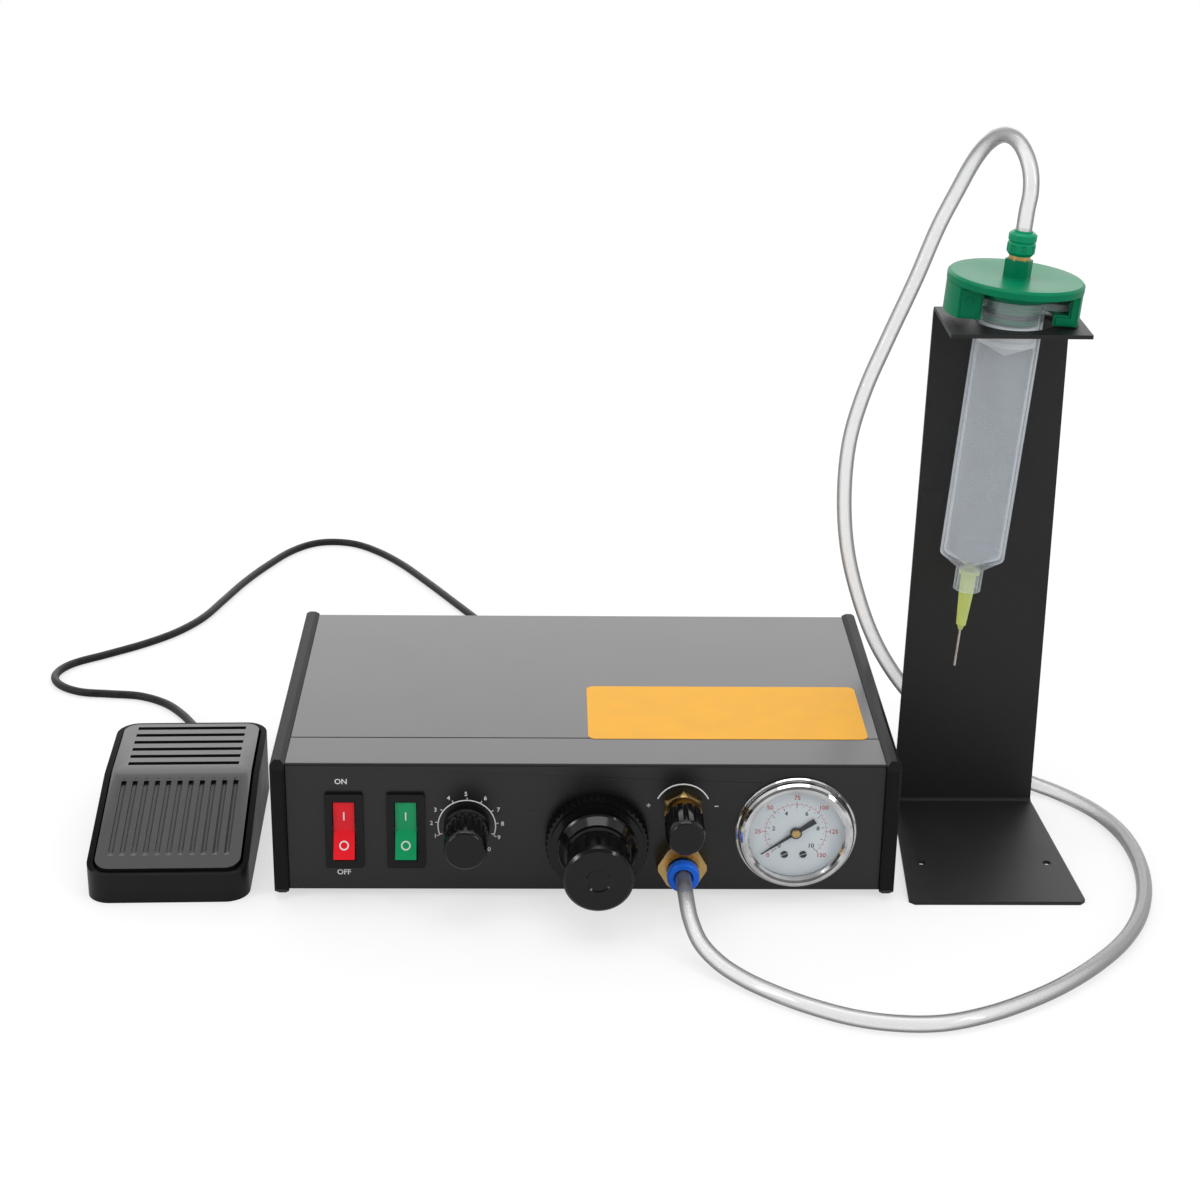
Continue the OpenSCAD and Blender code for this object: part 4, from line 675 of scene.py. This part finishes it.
def print_panel(looks):
    """Printed marks on the front panel: switch words, scales and signs."""
    marks = Print("panel_marks")
    for word, aside, z in SWITCH_WORDS:
        marks.text(word, POWER_SWITCH[0] + aside, z, WORD_HEIGHT, 0.05)
    x, z = TIMER
    marks.arc(x, z, *TIMER_ARC)
    marks.ticks(x, z, *TIMER_TICKS)
    for aside, up, w, h, turn in TIMER_BARS:
        marks.bar(x + aside, z + up, w, h, turn)
    for number, angle, r in TIMER_NUMBERS:
        marks.text(str(number), *polar(x, z, r, angle), TIMER_NUMBER_HEIGHT, 0.04)
    x, z = VACUUM_VALVE
    marks.arc(x, z, *VALVE_ARC)
    marks.bar(x + PLUS_SIGN[0], PLUS_SIGN[1], SIGN_LENGTH, SIGN_WIDTH)
    marks.bar(x + PLUS_SIGN[0], PLUS_SIGN[1], SIGN_WIDTH, SIGN_LENGTH)
    marks.bar(x + MINUS_SIGN[0], MINUS_SIGN[1], SIGN_LENGTH, SIGN_WIDTH)
    marks.place(panel_face(PANEL_Y), looks["panel_print"], "controller", "dial_white")


def print_gauge(looks):
    """The gauge's two scales and the screws of its dial."""
    x, z = GAUGE
    face = panel_face(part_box("gauge_dial")[0].y / MM)
    red = Print("gauge_outer_scale")
    red.arc(x, z, DIAL_ARC_R, DIAL_ARC_WIDTH, DIAL_START, DIAL_END)
    for row in OUTER_TICKS:
        red.ticks(x, z, DIAL_START, DIAL_END, *row)
    red.figures(x, z, *OUTER_FIGURES)
    red.place(face, looks["dial_print_red"], "controller", "pointer_black")
    black = Print("gauge_inner_scale")
    for row in INNER_TICKS:
        black.ticks(x, z, DIAL_START, DIAL_END, *row)
    black.figures(x, z, *INNER_FIGURES)
    black.place(face, looks["dial_print_black"], "controller", "pointer_black")
    for name, across in DIAL_SCREWS:
        screw = Print("dial_screw_" + name)
        for start in SCREW_HALVES:
            rim = [polar(x + across, z - SCREW_DOWN, SCREW_R, start + 10 * i) for i in range(17)]
            screw.outline(rim, 0, SCREW_HEIGHT)
        screw.place(face, looks["dark_steel"], "controller", "dark_steel")


def make_pointer_hub(looks):
    """The brass cap in the middle of the gauge's pointer."""
    cap = bmesh.new()
    rings = []
    for radius, height in CAP_RINGS:
        corners = [polar(0, 0, radius, 360 * i / CAP_CORNERS) for i in range(CAP_CORNERS)]
        rings.append([cap.verts.new((x, y, height)) for x, y in corners])
    for lower, upper in zip(rings, rings[1:]):
        for i in range(CAP_CORNERS):
            j = (i + 1) % CAP_CORNERS
            cap.faces.new((lower[i], lower[j], upper[j], upper[i])).smooth = True
    cap.faces.new(rings[-1])
    cap.faces.new(rings[0][::-1])
    mesh = bpy.data.meshes.new("pointer_hub_cap")
    cap.to_mesh(mesh)
    cap.free()
    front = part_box("gauge_pointer")[0].y / MM
    at_gauge = Matrix.Translation((GAUGE[0], front, GAUGE[1]))
    mesh.transform(Matrix.Scale(MM, 4) @ at_gauge @ panel_face(0))
    mesh.materials.append(looks["fitting_brass"])
    thing = add_object("pointer_hub_cap", mesh)
    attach(thing, "pointer")


def make_pedal_spring(looks):
    """The pedal's return spring, a coil of wire in place of the part's own shape."""
    low, high = (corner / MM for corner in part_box("pedal_spring"))
    middle = (low + high) / 2
    coil_r = (high.x - low.x) / 2 - SPRING_WIRE_R
    lowest = low.z + SPRING_WIRE_R
    height = high.z - low.z - 2 * SPRING_WIRE_R
    steps = SPRING_TURNS * SPRING_STEPS
    wire = bmesh.new()
    rings = []
    for i in range(steps + 1):
        turn = 2 * math.pi * i / SPRING_STEPS
        outward = Vector((math.cos(turn), math.sin(turn), 0))
        centre = Vector((middle.x, middle.y, lowest + height * i / steps)) + coil_r * outward
        ring = []
        for k in range(SPRING_WIRE_CORNERS):
            out, up = polar(0, 0, SPRING_WIRE_R, 360 * k / SPRING_WIRE_CORNERS)
            ring.append(wire.verts.new(centre + out * outward + Vector((0, 0, up))))
        rings.append(ring)
    for near, far in zip(rings, rings[1:]):
        for k in range(SPRING_WIRE_CORNERS):
            n = (k + 1) % SPRING_WIRE_CORNERS
            wire.faces.new((near[k], near[n], far[n], far[k])).smooth = True
    wire.faces.new(rings[0][::-1])
    wire.faces.new(rings[-1])
    bmesh.ops.recalc_face_normals(wire, faces=wire.faces)
    mesh = bpy.data.meshes.new("pedal_return_spring")
    wire.to_mesh(mesh)
    wire.free()
    mesh.transform(Matrix.Scale(MM, 4))
    mesh.materials.append(looks["plated_steel"])
    thing = add_object("pedal_return_spring", mesh)
    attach(thing, "controller")
    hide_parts("pedal_spring")
    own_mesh(thing)


def tilted_half(pivot, low):
    """The plane of a rocker's upper or lower face, from its middle line outwards."""
    x, z = pivot
    side = -1 if low else 1
    at_pivot = Matrix.Translation((x, PANEL_Y + ROCKER_PIVOT_DEPTH, z))
    rest = Matrix.Rotation(math.radians(90 - ROCKER_ANGLE), 4, "X")
    slope = Matrix.Rotation(math.radians(side * ROCKER_SLOPE), 4, "X")
    return at_pivot @ rest @ Matrix.Translation((0, 0, ROCKER_FACE)) @ slope


def print_rockers(looks):
    """The line and the ring on each rocker."""
    for name, pivot in (("power", POWER_SWITCH), ("mode", MODE_SWITCH)):
        body = name + "_rocker_body"
        line = Print(name + "_rocker_line")
        line.bar(*ROCKER_LINE)
        line.place(tilted_half(pivot, False), looks["panel_print"], body, "dial_white")
        ring = Print(name + "_rocker_ring")
        ring.ring(*ROCKER_RING)
        ring.place(tilted_half(pivot, True), looks["panel_print"], body, "dial_white")


def rounded_outline(low, high, radius, steps=8):
    """The outline of a rectangle with round corners."""
    points = []
    corners = (
        (high[0], high[1], 0), (low[0], high[1], 90),
        (low[0], low[1], 180), (high[0], low[1], 270))
    for cx, cy, start in corners:
        mx = cx - radius if cx == high[0] else cx + radius
        my = cy - radius if cy == high[1] else cy + radius
        for i in range(steps + 1):
            points.append(polar(mx, my, radius, start + 90 * i / steps))
    return points


def make_wing_steps(looks):
    """Raised steps on the flat ends of the adapter's two wings."""
    lean = Matrix.Rotation(math.radians(SYRINGE_LEAN), 4, "Y")
    for name, turn in (("front", 0), ("rear", 180)):
        steps = Print("adapter_wing_steps_" + name)
        steps.outline(WING_ANGLE, *WING_ANGLE_SPAN)
        steps.outline(WING_PANEL, *WING_PANEL_SPAN)
        stud = [polar(*WING_STUD, STUD_R, 360 * i / STUD_CORNERS) for i in range(STUD_CORNERS)]
        steps.outline(stud, *STUD_SPAN)
        side = Matrix.Rotation(math.radians(turn), 4, "Z") @ panel_face(-WING_HALF)
        face = Matrix.Translation(SYRINGE_SEAT) @ lean @ side
        steps.place(face, looks["adapter_green"], "adapter", "adapter_green")


def make_label(looks):
    """The plain amber label on the top cover."""
    label = Print("cover_label")
    label.outline(rounded_outline(LABEL_LOW, LABEL_HIGH, LABEL_ROUNDING), 0, LABEL_T)
    face = Matrix.Translation((0, 0, COVER_Z))
    label.place(face, looks["label_amber"], "controller", "dial_white")


def make_cord(name, points, radius, material, body):
    """A round cord along a smooth curve through its points."""
    curve = bpy.data.curves.new(name, "CURVE")
    curve.dimensions = "3D"
    curve.bevel_depth = radius * MM
    curve.bevel_resolution = 5
    curve.resolution_u = 8
    curve.use_fill_caps = True
    spline = curve.splines.new("BEZIER")
    spline.bezier_points.add(len(points) - 1)
    places = [Vector(point) * MM for point in points]
    for i, knot in enumerate(spline.bezier_points):
        before = places[max(i - 1, 0)]
        after = places[min(i + 1, len(places) - 1)]
        along = (after - before).normalized()
        knot.co = places[i]
        knot.handle_left_type = "FREE"
        knot.handle_right_type = "FREE"
        knot.handle_left = places[i] - along * (places[i] - before).length / 3
        knot.handle_right = places[i] + along * (after - places[i]).length / 3
    curve.materials.append(material)
    thing = add_object(name, curve)
    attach(thing, body)
    return thing, spline.calc_length()


def make_cords(looks):
    """The air hose and the pedal's cable."""
    hose, length = make_cord(
        "clear_air_hose", HOSE_POINTS, HOSE_R, looks["hose_clear"], "controller")
    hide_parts("air_hose")
    cable, length = make_cord(
        "black_pedal_cable", CABLE_POINTS, CABLE_R, looks["cable_black"], "controller")
    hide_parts("pedal_cable")


def seen_ray(tree, mirrored=1.0):
    """1 for the eye, also through clear things; a share of it in reflections; 0 as light on things."""
    rays = tree.nodes.new("ShaderNodeLightPath").outputs
    share = combine(tree, "MULTIPLY", rays["Is Glossy Ray"], mirrored)
    first = combine(tree, "MAXIMUM", rays["Is Camera Ray"], share)
    return combine(tree, "MAXIMUM", first, rays["Is Transmission Ray"])


def glow_share(tree):
    """How much of the floor glows: the same share for all light, and all of it far off to the eye."""
    place = tree.nodes.new("ShaderNodeTexCoord").outputs["Object"]
    camera_ray = tree.nodes.new("ShaderNodeLightPath").outputs["Is Camera Ray"]
    span = tree.nodes.new("ShaderNodeVectorMath")
    span.operation = "LENGTH"
    tree.links.new(place, span.inputs[0])
    far = map_range(tree, span.outputs["Value"], FLOOR_NEAR, FLOOR_FAR, 0, 1)
    return combine(tree, "MAXIMUM", combine(tree, "MULTIPLY", far, camera_ray), FLOOR_GLOW)


def floor_material():
    """White to the eye and in reflections, with a soft shadow kept under the object."""
    material = bpy.data.materials.new("floor")
    material.use_nodes = True
    tree = material.node_tree
    tree.nodes.clear()
    matt = tree.nodes.new("ShaderNodeBsdfDiffuse")
    matt.inputs["Color"].default_value = (0.95, 0.95, 0.95, 1)
    glow = tree.nodes.new("ShaderNodeEmission")
    glow.inputs["Color"].default_value = (1, 1, 1, 1)
    tree.links.new(seen_ray(tree, FLOOR_MIRRORED), glow.inputs["Strength"])
    both = tree.nodes.new("ShaderNodeMixShader")
    tree.links.new(glow_share(tree), both.inputs["Fac"])
    tree.links.new(matt.outputs[0], both.inputs[1])
    tree.links.new(glow.outputs[0], both.inputs[2])
    output = tree.nodes.new("ShaderNodeOutputMaterial")
    tree.links.new(both.outputs[0], output.inputs[0])
    return material


def make_floor():
    """A wide plain floor."""
    mesh = bpy.data.meshes.new("floor")
    low, high = -FLOOR_HALF, FLOOR_HALF
    corners = [(low, low, 0), (high, low, 0), (high, high, 0), (low, high, 0)]
    mesh.from_pydata(corners, [], [(0, 1, 2, 3)])
    mesh.materials.append(floor_material())
    floor = add_object("floor", mesh)


def make_surround():
    """A bright surround: white to the eye, and shaded towards the front in reflections."""
    world = bpy.data.worlds.new("surround")
    world.use_nodes = True
    tree = world.node_tree
    camera_ray = tree.nodes.new("ShaderNodeLightPath").outputs["Is Camera Ray"]
    heading = tree.nodes.new("ShaderNodeSeparateXYZ")
    tree.links.new(tree.nodes.new("ShaderNodeTexCoord").outputs["Generated"], heading.inputs[0])
    seen = map_range(tree, heading.outputs["Y"], SHADED_UP_TO, BRIGHT_FROM, FRONT_SHADE, 1.0)
    strength = tree.nodes.new("ShaderNodeMix")
    tree.links.new(seen_ray(tree), strength.inputs["Factor"])
    strength.inputs["A"].default_value = SURROUND_LIGHT
    tree.links.new(combine(tree, "MAXIMUM", seen, camera_ray), strength.inputs["B"])
    background = tree.nodes["Background"]
    tree.links.new(strength.outputs[0], background.inputs["Strength"])
    background.inputs["Color"].default_value = (1, 1, 1, 1)
    bpy.context.scene.world = world


def make_stage():
    """The floor, the surround, the lights and how the picture shows them."""
    make_floor()
    make_surround()
    for name, (place, aim, size, watts) in LIGHTS.items():
        add_light(name, place, aim, size, watts)
    view = bpy.context.scene.view_settings
    view.view_transform = "Standard"
    view.look = "None"
    view.exposure = 0
    view.gamma = 1


make_camera()
finishes = make_looks()
make_cords(finishes)
finish_nodes(finishes)
refinish("pedal_plate", finishes["pedal_ribs"])
refinish("pedal_base", finishes["pedal_rim"])
for edge_width, edge_segments, edge_angle, soft_nodes in SOFT_EDGES:
    for node_name in soft_nodes:
        soften(node_name, edge_width, edge_segments, edge_angle)
print_panel(finishes)
print_gauge(finishes)
make_pointer_hub(finishes)
make_pedal_spring(finishes)
print_rockers(finishes)
make_label(finishes)
make_wing_steps(finishes)
make_stage()
